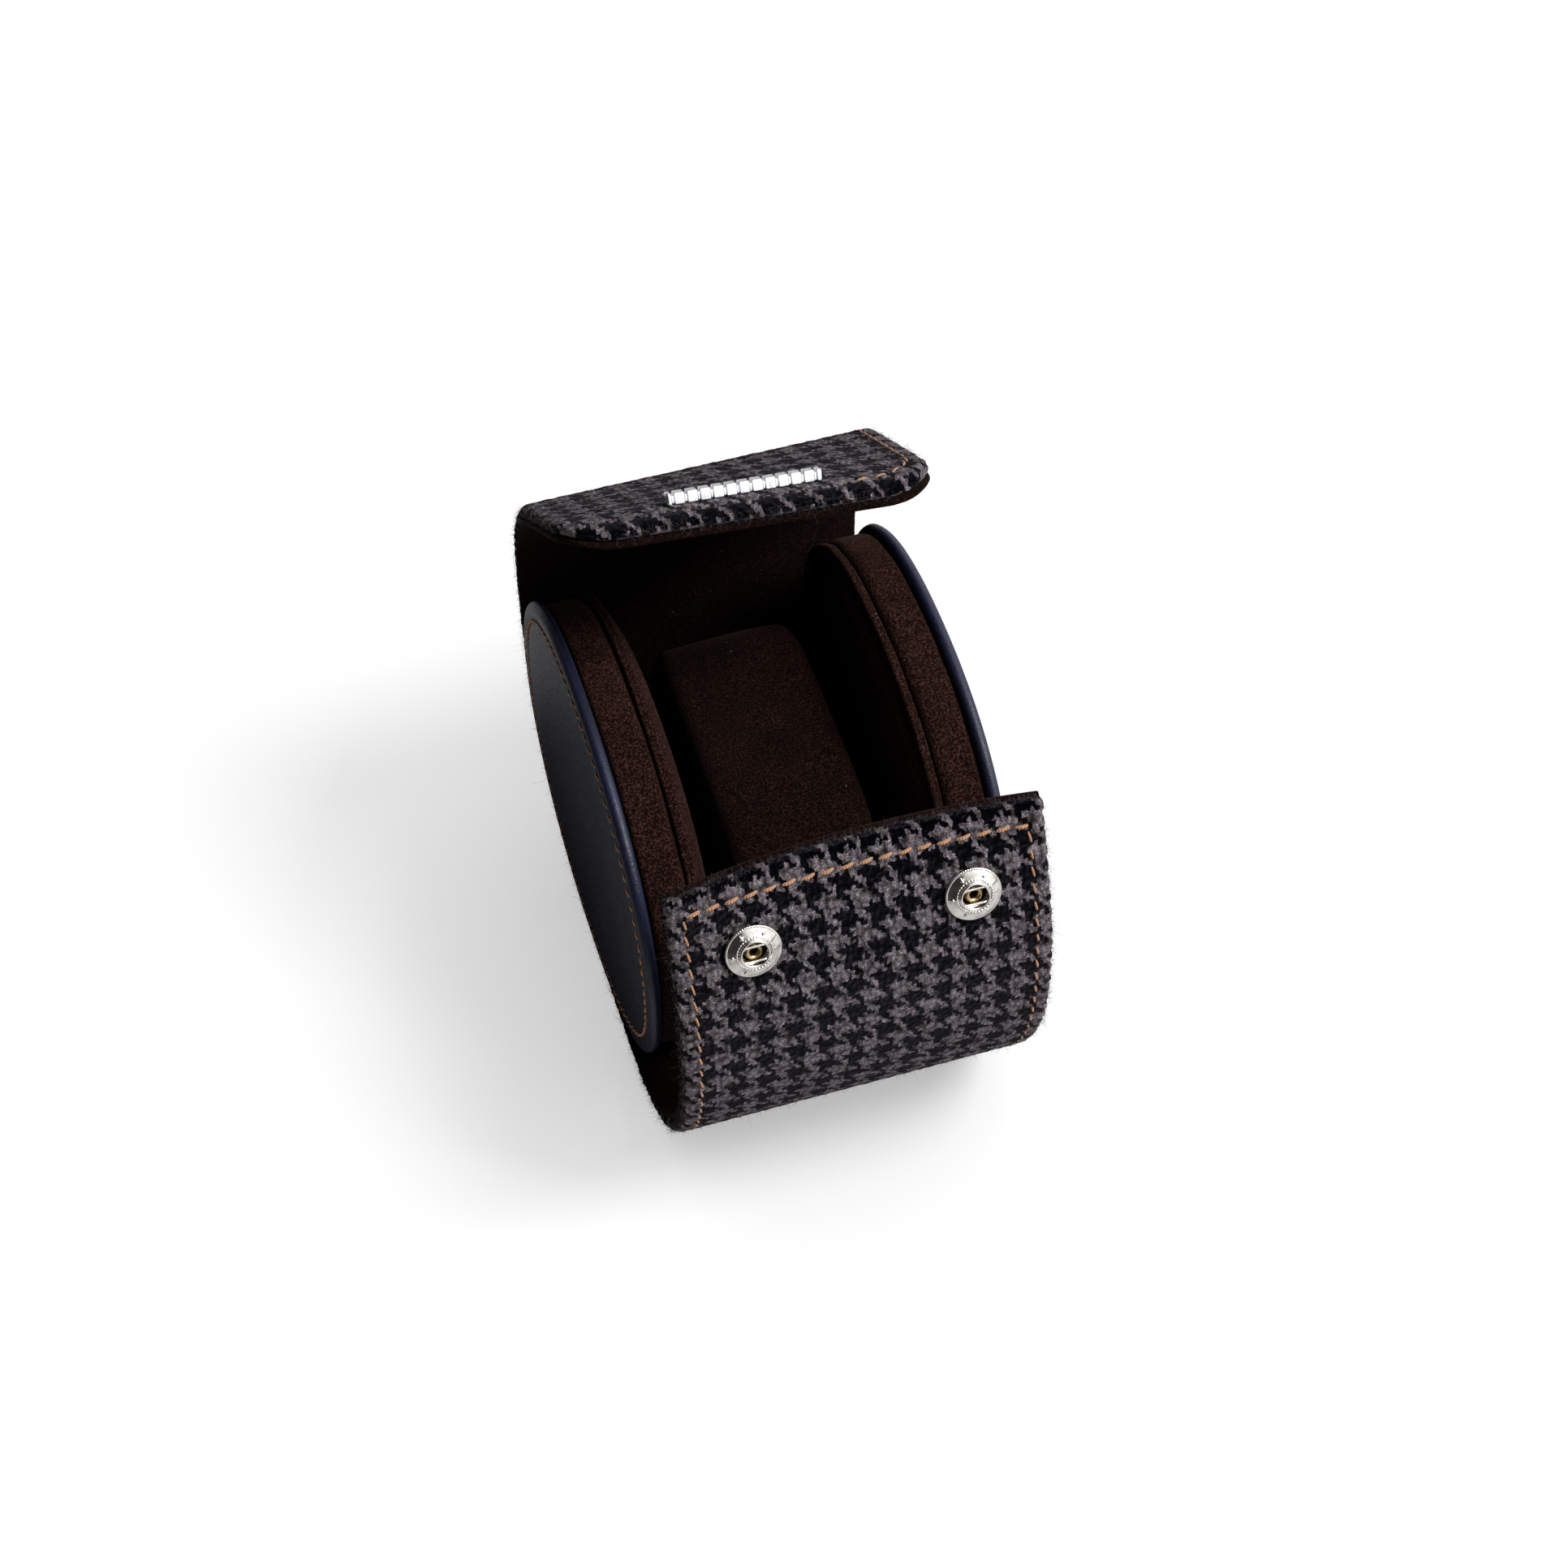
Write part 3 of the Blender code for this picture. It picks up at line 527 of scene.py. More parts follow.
@dataclass
class StripLine:
    """The side view of the strip's outer face, from the front panel's top edge round to the flap's free edge."""

    oval: Oval
    lean: float = 20.0
    flap_rise: float = 37.5
    flap_length: float = 42.5
    root: Pair = (38.5, 111.0)
    panel_top: Pair = (-65.0, 105.8)
    heel_half: Pair = (47.3, 56.0)
    heel_power: float = 1.88
    heel_end: float = 30.0
    half_width: float = 40.0
    bow: float = 4.4
    bow_middle: float = 8.0
    bow_half: float = 38.0
    bow_fade: float = 9.5
    wring: float = 2.2
    wring_start: float = 8.0
    droop: float = 2.3
    droop_length: float = 9.0

    def __post_init__(self) -> None:
        """Works out the smooth line, its lengths and its inward steps."""
        lean = math.radians(self.lean)
        down = np.array([-math.sin(lean), -math.cos(lean)])
        knots = [np.array(self.panel_top) + down * k for k in (0.0, 14.0, 28.0, 30.0)]
        y, z = superellipse(math.pi + np.arange(7) * math.pi / 12, *self.heel_half, self.heel_power)
        knots += list(np.stack([y - self.heel_end, z + self.heel_half[1]], 1))
        knots += [np.array(p) for p in ((-28.0, 0.0), (0.0, 0.0), (11.0, 0.0), (13.0, 0.0), (23.5, 1.6))]
        knots += list(self.oval.outside(np.array([-50.0, -41, -32, -22, -12]), self.oval.wrap + self.oval.seat))
        back = self.oval.depth / 2 + self.oval.wrap + self.oval.seat + 1.6
        rise = math.radians(self.flap_rise)
        forward = np.array([-math.cos(rise), math.sin(rise)])
        root = np.array(self.root)
        knots += [np.array((back, 66.0)), np.array((back - 2.6, 86.0)), root - 9.0 * forward + (0.8, -1.2), root]
        line = self.smooth(np.array(knots))
        tip = root + forward * self.flap_length
        line = np.vstack([line, np.linspace(root, tip, 60)[1:]])
        self.points = line + (self.oval.shift, 0.0)
        self.lengths = np.concatenate([[0.0], np.cumsum(np.linalg.norm(np.diff(line, axis=0), axis=1))])
        along = np.gradient(line, self.lengths, axis=0)
        along /= np.linalg.norm(along, axis=1)[:, None]
        self.inward = np.stack([-along[:, 1], along[:, 0]], 1)
        self.root_at = self.lengths[-60]
        self.total = float(self.lengths[-1])

    @staticmethod
    def smooth(knots: Array, per_span: int = 24) -> Array:
        """A centripetal Catmull-Rom line through the knots.

        Args:
            knots: the points that it passes.
            per_span: points between two knots.

        Returns:
            The line's points.
        """
        padded = np.vstack([2 * knots[0] - knots[1], knots, 2 * knots[-1] - knots[-2]])
        spans = []
        for p0, p1, p2, p3 in zip(padded, padded[1:], padded[2:], padded[3:]):
            t0 = 0.0
            t1 = t0 + math.sqrt(np.linalg.norm(p1 - p0))
            t2 = t1 + math.sqrt(np.linalg.norm(p2 - p1))
            t3 = t2 + math.sqrt(np.linalg.norm(p3 - p2))
            t = (t1 + (t2 - t1) * np.arange(per_span) / per_span)[:, None]
            a1 = p0 * ((t1 - t) / (t1 - t0)) + p1 * ((t - t0) / (t1 - t0))
            a2 = p1 * ((t2 - t) / (t2 - t1)) + p2 * ((t - t1) / (t2 - t1))
            a3 = p2 * ((t3 - t) / (t3 - t2)) + p3 * ((t - t2) / (t3 - t2))
            b1 = a1 * ((t2 - t) / (t2 - t0)) + a2 * ((t - t0) / (t2 - t0))
            b2 = a2 * ((t3 - t) / (t3 - t1)) + a3 * ((t - t1) / (t3 - t1))
            spans.append(b1 * ((t2 - t) / (t2 - t1)) + b2 * ((t - t1) / (t2 - t1)))
        return np.vstack([*spans, padded[-2][None]])

    def place(self, across: Array, along: Array, depth: Array | float) -> Array:
        """Turns places on the flat strip to points in space.

        The flat place picks a point of the side view, which then moves inwards by the depth. The front panel's top bows
        towards the case in its middle. The flap is wrung a little, its left corner up and its right corner down, and
        its free edge is rolled over.

        Args:
            across: from -40 at the left edge to 40 at the right.
            along: length from the front panel's top edge.
            depth: how far in from the outer face.

        Returns:
            Points, one row each, in the shape of the inputs.
        """
        across, along, depth = np.broadcast_arrays(
            np.asarray(across, float), np.asarray(along, float), np.asarray(depth, float)
        )
        arch = np.clip(1 - (np.abs(across - self.bow_middle) / self.bow_half) ** 2.2, -0.4, 1)
        bow = self.bow * arch * np.exp(-np.clip(along, 0, None) / self.bow_fade)
        over = np.clip((along - self.root_at + self.wring_start) / (self.total - self.root_at), 0, 1.3)
        wring = -self.wring * (across / self.half_width) * over**1.2
        droop = self.droop * np.clip((along - self.total + self.droop_length) / self.droop_length, 0, 1.2) ** 2
        move = depth + np.where(along < 60, bow, 0.0) - wring + droop
        ny = np.interp(along, self.lengths, self.inward[:, 0])
        nz = np.interp(along, self.lengths, self.inward[:, 1])
        y = np.interp(along, self.lengths, self.points[:, 0]) + ny * move
        z = np.interp(along, self.lengths, self.points[:, 1]) + nz * move
        return np.stack([across, y, z], -1)

    def frame_at(self, across: float, along: float, depth: float) -> Matrix:
        """The frame of a fitting on the strip.

        Args:
            across: its place across the strip.
            along: its place along the strip.
            depth: its depth; a fitting on the lining has Z pointing in.

        Returns:
            A matrix in millimetres, with Y along the strip and Z out of the face that it sits on.
        """
        here = self.place(across, along, depth)
        ahead = self.place(across, along + 0.5, depth) - self.place(across, along - 0.5, depth)
        aside = self.place(across + 0.5, along, depth) - self.place(across - 0.5, along, depth)
        out = np.cross(ahead, aside) * (1 if depth < 2.0 else -1)
        z = Vector(out).normalized()
        y = (Vector(ahead) - z * Vector(ahead).dot(z)).normalized()
        x = y.cross(z)
        made = Matrix((x, y, z)).transposed().to_4x4()
        made.translation = Vector(here)
        return made


@dataclass
class Wrap:
    """The strip: wool outside, felt between and suede inside, sewn together near its edges."""

    line: StripLine
    finishes: Finishes
    half: float = 40.0
    corner: float = 12.0
    wool_edge: float = 3.0
    wool_skin: float = 1.4
    felt_depth: Pair = (1.7, 2.9)
    lining_depth: Pair = (3.05, 4.2)
    spacing: float = 0.7
    seam_side: float = 3.6
    seam_top: float = 4.6
    seam_flap: float = 4.0
    pitch: float = 4.1
    thread: float = 0.36
    proud_panel: float = 0.24
    proud_flap_right: float = 0.06
    proud_flap: float = -0.30
    proud_side: float = 0.02
    proud_lining_flap: float = 0.05
    proud_lining: float = -0.40
    hole: float = 0.5

    def __post_init__(self) -> None:
        """Picks where the strip is divided: under the flat bottom."""
        flat = (np.abs(self.line.points[:, 1]) < 0.02) & (np.abs(self.line.points[:, 0] - self.line.oval.shift) < 25)
        middle = self.line.lengths[flat]
        self.middle = float((middle.min() + middle.max()) / 2)

    def rim_distance(self, across: Array, along: Array, half: float, end: float) -> Array:
        """Distance in from the strip's outline, which is square at the front panel and rounded at the flap."""
        top = along
        side = half - np.abs(across)
        tip = end - along
        square = np.minimum(np.minimum(side, top), tip)
        reach = self.corner - (self.half - half)
        in_corner = (side < reach) & (tip < reach)
        rounded = reach - np.hypot(reach - side, reach - tip)
        return np.where(in_corner, rounded, square)

    def layer(
        self,
        name: str,
        start: float,
        end: float,
        depths: Pair,
        rounding: float,
        inset: float,
        material: Finish,
        plump: float,
        hollow: float | None = None,
    ) -> Piece:
        """Makes one stretch of one layer as a slab with soft edges.

        Rows run along the strip and columns across it, closer together near the rim. Each face lies at its own depth,
        and both draw together at the rim by a quarter of an ellipse.

        Args:
            name: the piece's name.
            start: where the stretch starts along the strip.
            end: where it ends.
            depths: its outer and its inner depth.
            rounding: the width of the soft edge.
            inset: how far the outline is drawn in.
            material: its finish.
            plump: the height of the lumps on its outer face and rim.
            hollow: the inner face's depth away from the rim, where another layer lies in it, or None.

        Returns:
            The piece.
        """
        half = self.half - inset
        last = self.line.total - inset
        first = inset
        tight = rounding * (1 - np.cos(np.linspace(0, math.pi / 2, 7)))
        body = np.linspace(rounding, 2 * half - rounding, int((2 * half - 2 * rounding) / self.spacing))
        columns = np.concatenate([tight[:-1], body, 2 * half - tight[::-1][1:]]) - half
        low, high = max(start, first), min(end, last)
        rows = np.linspace(low, high, int((high - low) / self.spacing))
        if start <= first:
            rows = np.concatenate([first + tight[:-1], rows[rows > first + rounding]])
        if end >= last:
            extra = last - self.corner * (1 - np.sin(np.linspace(0, math.pi / 2, 16)))
            rows = np.concatenate(
                [rows[rows < last - self.corner], extra[extra < last - rounding], (last - tight[::-1])]
            )
        across, along = np.meshgrid(columns, rows)
        tip = np.clip(last - along, 0, None)
        reach = self.corner - inset
        narrowed = half - reach + np.sqrt(np.clip(reach**2 - np.clip(reach - tip, 0, reach) ** 2, 0, None))
        scale = np.where(tip < reach, narrowed / half, 1.0)
        across = across * scale
        distance = np.clip(self.rim_distance(across, along - first, half, last - first), 0, None)
        share = np.clip(1 - distance / rounding, 0, 1)
        draw = 1 - np.sqrt(np.clip(1 - share**2, 0, 1))
        middle = (depths[0] + depths[1]) / 2
        lumps = plump * (0.55 * ripple(across, along, 5, 3.4, 2) + 0.45 * ripple(across, along, 9, 1.7, 1))
        outer = depths[0] + (middle - depths[0]) * draw - lumps * (1 + 0.9 * share)
        inner = np.full_like(outer, depths[1])
        if hollow is not None:
            ease = np.clip((distance - rounding * 0.55) / (rounding * 0.3), 0, 1)
            inner = depths[1] + (hollow - depths[1]) * ease * ease * (3 - 2 * ease)
        inner = inner - (depths[1] - middle) * draw
        swell = plump * 1.5 * ripple(along, across, 3, 3.0, 2) * share
        pushed = across + np.sign(across) * swell * (np.abs(across) > half * scale - rounding)
        faces_out = self.line.place(pushed, along, outer)
        faces_in = self.line.place(pushed, along, inner)
        r, c = across.shape
        points = np.vstack([faces_out.reshape(-1, 3), faces_in.reshape(-1, 3)])
        quads_out = grid_faces(r, c)
        quads_in = grid_faces(r, c, start=r * c)[:, ::-1]
        loop = np.concatenate(
            [
                np.arange(c), (np.arange(1, r) + 1) * c - 1, (r - 1) * c + np.arange(c - 2, -1, -1),
                np.arange(r - 2, 0, -1) * c,
            ]
        )
        following = np.roll(loop, -1)
        rim = np.stack([following, loop, loop + r * c, following + r * c], 1)
        flat_out, flat_in = self.flat_places(
            across, along, distance, share, rounding, (depths[1] - depths[0]) / 2, half, first, last
        )
        made = mesh_object(
            name, points, np.vstack([quads_out, quads_in, rim]), material, np.vstack([flat_out, flat_in])
        )
        close_up(made)
        return made

    def flat_places(
        self,
        across: Array,
        along: Array,
        distance: Array,
        share: Array,
        rounding: float,
        rise: float,
        half: float,
        first: float,
        last: float,
    ) -> tuple[Array, Array]:
        """Lays both faces of a slab out flat, so that the weave runs on round its rim at its true size.

        On the soft edge a face's own length is that of a quarter of an ellipse, counted from the rim.

        Args:
            across: places across the strip.
            along: places along it.
            distance: distance in from the outline.
            share: how far into the soft edge each place is, 1 at the rim.
            rounding: the soft edge's width.
            rise: half the slab's thickness.
            half: half its width.
            first: where its outline starts.
            last: where its outline ends.

        Returns:
            The outer and the inner face's places, in metres.
        """
        turn = np.linspace(0, math.pi / 2, 60)
        inwards = rounding * (1 - np.cos(turn))
        run = np.concatenate([[0], np.cumsum(np.hypot(np.diff(inwards), rise * np.diff(np.sin(turn))))])
        arc = np.interp(distance, inwards, run) + np.clip(distance - rounding, 0, None)
        extra = run[-1] - rounding
        step = 0.05
        counted, length = along - first, last - first
        slope_u, slope_v = (
            self.rim_distance(across + du, counted + dv, half, length)
            - self.rim_distance(across - du, counted - dv, half, length)
            for du, dv in ((step, 0.0), (0.0, step))
        )
        size = np.maximum(np.hypot(slope_u, slope_v), 1e-6)
        edge = share > 0
        places = []
        for inward in (arc - extra, -arc - extra):
            move = np.where(edge | (inward < 0), inward - distance, 0.0)
            flat = np.stack([across + slope_u / size * move, along + slope_v / size * move], -1)
            places.append(flat.reshape(-1, 2) * MM)
        return places[0], places[1]

    def seam_run(self) -> tuple[Array, Array]:
        """The two ends of every stitch as flat places; a stitch slants a little across the seam."""
        end = self.line.total - self.seam_flap
        side = self.half - self.seam_side
        reach = self.corner - self.seam_side + 1.5
        turn = np.linspace(0, math.pi / 2, 8)
        right_corner = [(side - reach + reach * math.cos(t), end - reach + reach * math.sin(t)) for t in turn]
        left_corner = [(-side + reach - reach * math.sin(t), end - reach + reach * math.cos(t)) for t in turn]
        path = np.array(
            [(-side, self.seam_top), (side, self.seam_top), *right_corner, *left_corner, (-side, self.seam_top)]
        )
        lengths = np.concatenate([[0], np.cumsum(np.linalg.norm(np.diff(path, axis=0), axis=1))])
        count = round(lengths[-1] / self.pitch)
        starts = np.arange(count) * lengths[-1] / count
        first, second = (
            np.stack([np.interp(starts + k, lengths, path[:, i]) for i in (0, 1)], 1) for k in (0.35, self.pitch - 0.45)
        )
        way = (second - first) / np.linalg.norm(second - first, axis=1)[:, None]
        aside = np.stack([-way[:, 1], way[:, 0]], 1)
        return first + 0.3 * aside, second - 0.3 * aside

    def stitches(self, name: str, front: bool, depth: float, outward: float) -> Piece:
        """Makes one stretch of the seam on one face.

        A stitch is a bent capsule: its middle stands proud of the cloth and its two ends dip into the needle holes. The
        thread is drawn deeper into the nap at the sides and along the flap than across the front panel.

        Args:
            name: the piece's name.
            front: whether it is the stretch with the front panel.
            depth: the face's depth.
            outward: -1 on the outer face and 1 on the lining.

        Returns:
            The piece.
        """
        first, second = self.seam_run()
        keep = (first[:, 1] < self.middle) & (second[:, 1] < self.middle)
        keep = keep if front else ~keep
        first, second = first[keep], second[keep]
        t = np.linspace(0, 1, 9)
        lift = np.sin(math.pi * t) ** 0.6
        flat = first[:, None] + (second - first)[:, None] * t[None, :, None]
        across_seam = np.abs(second[:, 0] - first[:, 0]) > 1.5
        panel = across_seam & (first[:, 1] < 30)
        on_flap = first[:, 1] > self.line.root_at - 12
        if outward < 0:
            flap = np.where(first[:, 0] > 24, self.proud_flap_right, self.proud_flap)
            proud = np.where(panel, self.proud_panel, np.where(on_flap, flap, self.proud_side))
        else:
            proud = np.where(across_seam & on_flap, self.proud_lining_flap, self.proud_lining)
        level = depth + outward * (proud[:, None] * lift[None] - self.hole * (1 - lift[None]))
        centre = self.line.place(flat[..., 0], flat[..., 1], level)
        wide = np.where(panel, self.thread * 1.22, self.thread * 0.8)
        return tube_batch(name, centre, wide[:, None] * (0.4 + 0.6 * lift)[None], self.finishes.thread)

    def build(self) -> list[Piece]:
        """Builds all the layers and seams and bakes their placement."""
        # The lining takes the darker suede copy, which is painted shade for the inside of the case.
        wool, felt, suede = self.finishes.wool, self.finishes.felt, self.finishes.shaded_suede
        made = []
        for front in (True, False):
            word = "front" if front else "rear"
            start, end = (0.0, self.middle) if front else (self.middle + 0.02, self.line.total)
            cloth = self.layer(f"wool_{word}", start, end, (0.0, self.wool_edge), 1.9, 0.0, wool, 0.2, self.wool_skin)
            core = self.layer(f"felt_{word}", start, end, self.felt_depth, 0.4, 1.9, felt, 0.0)
            lining = self.layer(f"lining_{word}", start, end, self.lining_depth, 0.5, -0.15, suede, 0.05)
            outside = self.stitches(f"seam_{word}", front, 0.0, -1)
            inside = self.stitches(f"lining_seam_{word}", front, self.lining_depth[1], 1)
            if front:
                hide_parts("front_panel_cloth", "front_heel_cloth")
                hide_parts("front_panel_stiffener")
                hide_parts("front_panel_lining", "front_heel_lining")
            else:
                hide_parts("base_cloth", "flap_fold_cloth", "flap_cloth")
                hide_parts("base_stiffener", "flap_stiffener")
                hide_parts("base_lining", "flap_fold_lining", "flap_lining")
            for piece in (cloth, core, lining, outside, inside):
                self.hang(piece, front)
                made.append(piece)
        return made

    @staticmethod
    def hang(piece: Piece, front: bool) -> None:
        """Bakes a piece of the strip into place, the same way for the front panel as for the flap."""
        if front:
            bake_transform(piece)
        else:
            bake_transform(piece)


@dataclass
class StrayFibres:
    """Loose wool fibres that stand off the cloth: thin bent hairs all over it, and more of them along its rim."""

    wrap: Wrap
    on_face: int = 3300
    on_rim: int = 3300
    radius: float = 0.027
    reach: Pair = (0.45, 1.4)

    def build(self, front: bool) -> Piece:
        """Grows one stretch of the strip's fibres.

        A fibre starts in the nap, leans off in a random direction and curls on: its path is a line plus a square term.

        Args:
            front: whether it is the stretch with the front panel.

        Returns:
            The piece.
        """
        chance = np.random.default_rng(4 if front else 8)
        line, half, total = self.wrap.line, self.wrap.half, self.wrap.line.total
        low, high = (0.3, self.wrap.middle) if front else (self.wrap.middle, total - 0.3)
        count = self.on_face + self.on_rim
        across = chance.uniform(-half + 0.6, half - 0.6, count)
        along = chance.uniform(low, high, count)
        rim = np.arange(count) < self.on_rim
        side = rim & (chance.random(count) < 0.72)
        top = rim & ~side
        across = np.where(side, np.sign(across) * (half - 0.05), across)
        along = np.where(top, 0.05 if front else total - 0.05, along)
        depth = np.where(rim, chance.uniform(0.3, 2.4, count), 0.05)
        keep = self.wrap.rim_distance(across, along, half, total) > -0.01
        across, along, depth, rim, side, top = (a[keep] for a in (across, along, depth, rim, side, top))
        count = len(across)
        root = line.place(across, along, depth)
        ahead = line.place(across, along + 0.4, depth) - line.place(across, along - 0.4, depth)
        ahead /= np.linalg.norm(ahead, axis=1)[:, None]
        aside = np.tile([1.0, 0.0, 0.0], (count, 1))
        out = np.cross(ahead, aside)
        face = line.place(across, along, depth - 1.0) - root
        out *= np.sign(np.sum(out * face, axis=1))[:, None]
        lift = np.where(
            side[:, None], aside * np.sign(across)[:, None], np.where(top[:, None], ahead * (-1 if front else 1), out)
        )
        lean = chance.normal(0, 1, (count, 3))
        lean -= lift * np.sum(lean * lift, axis=1)[:, None]
        length = chance.uniform(*self.reach, count) * np.where(chance.random(count) < 0.05, 1.9, 1.0)
        way = lift * 0.75 + lean * 0.55
        curl = np.cross(way, chance.normal(0, 1, (count, 3))) * 0.5
        t = np.linspace(0, 1, 5)[None, :, None]
        paths = root[:, None] + length[:, None, None] * (
            way[:, None] * t + curl[:, None] * t * t
        ) - lift[:, None] * 0.25
        made = tube_batch(
            "fibres_front" if front else "fibres_rear", paths, self.radius * np.linspace(1.0, 0.45, 5),
            self.wrap.finishes.fibre, 3,
        )
        self.wrap.hang(made, front)
        return made


@contextmanager
def edited(piece: Piece) -> Iterator[bmesh.types.BMesh]:
    """Opens a piece's mesh for editing and writes it back."""
    work = bmesh.new()
    work.from_mesh(piece.data)
    yield work
    work.to_mesh(piece.data)
    work.free()


def close_up(piece: Piece) -> None:
    """Merges doubled points of a piece, which closes its poles and seams."""
    with edited(piece) as work:
        bmesh.ops.remove_doubles(work, verts=work.verts, dist=2e-6)
        bmesh.ops.dissolve_degenerate(work, edges=work.edges, dist=1e-7)


def face_out(piece: Piece) -> None:
    """Points a closed piece's faces outwards."""
    with edited(piece) as work:
        bmesh.ops.recalc_face_normals(work, faces=work.faces)


def crisp(piece: Piece, degrees: float) -> None:
    """Keeps a piece's edges sharp where its faces turn by more than an angle."""
    limit = math.radians(degrees)
    with edited(piece) as work:
        for edge in work.edges:
            edge.smooth = not (len(edge.link_faces) == 2 and edge.calc_face_angle() > limit)


def tube_batch(name: str, centres: Array, radii: Array, material: Finish, sides: int = 6) -> Piece:
    """Makes many short tubes in one piece.

    Each tube is a ring of points carried along its centre line, with a point at each end.

    Args:
        name: the piece's name.
        centres: centre lines, as tubes by points by three.
        radii: the radius at each point of a line.
        material: their finish.
        sides: points round a ring.

    Returns:
        The piece.
    """
    count, steps, _ = centres.shape
    along = np.gradient(centres, axis=1)
    along /= np.linalg.norm(along, axis=2)[..., None]
    away = np.cross(along, np.array([0.31, 0.77, 0.55]))
    away /= np.linalg.norm(away, axis=2)[..., None]
    across = np.cross(along, away)
    angle = np.arange(sides) * 2 * math.pi / sides
    radii = np.broadcast_to(np.asarray(radii, float), (count, steps))
    rings = centres[:, :, None] + radii[..., None, None] * (
        away[:, :, None] * np.cos(angle)[None, None, :, None] + across[:, :, None] * np.sin(angle)[None, None, :, None])
    ends = np.stack(
        [centres[:, 0] - along[:, 0] * radii[:, :1] * 0.5, centres[:, -1] + along[:, -1] * radii[:, -1:] * 0.5], 1
    )
    per = steps * sides + 2
    points = np.concatenate([rings.reshape(count, -1, 3), ends], 1).reshape(-1, 3)
    quads = grid_faces(steps, sides, wrap_columns=True)
    ring = np.arange(sides)
    first_cap = np.stack([np.full(sides, steps * sides), (ring + 1) % sides, ring], 1)
    last = (steps - 1) * sides
    last_cap = np.stack([np.full(sides, steps * sides + 1), last + ring, last + (ring + 1) % sides], 1)
    base = (np.arange(count) * per)[:, None, None]
    caps = np.vstack([first_cap, last_cap])
    faces = (quads[None] + base).reshape(-1, 4).tolist() + (caps[None] + base).reshape(-1, 3).tolist()
    length = np.concatenate(
        [np.zeros((count, 1)), np.cumsum(np.linalg.norm(np.diff(centres, axis=1), axis=2), axis=1)], 1
    )
    flat = np.stack(
        [
            np.broadcast_to(length[:, :, None] * 2.2, (count, steps, sides)),
            np.broadcast_to(angle / math.pi * 2.0, (count, steps, sides)),
        ],
        -1,
    )
    uv = np.concatenate([flat.reshape(count, -1, 2), np.zeros((count, 2, 2))], 1).reshape(-1, 2)
    made = mesh_object(name, points, faces, material, uv, Weave.ALONG.value)
    face_out(made)
    return made


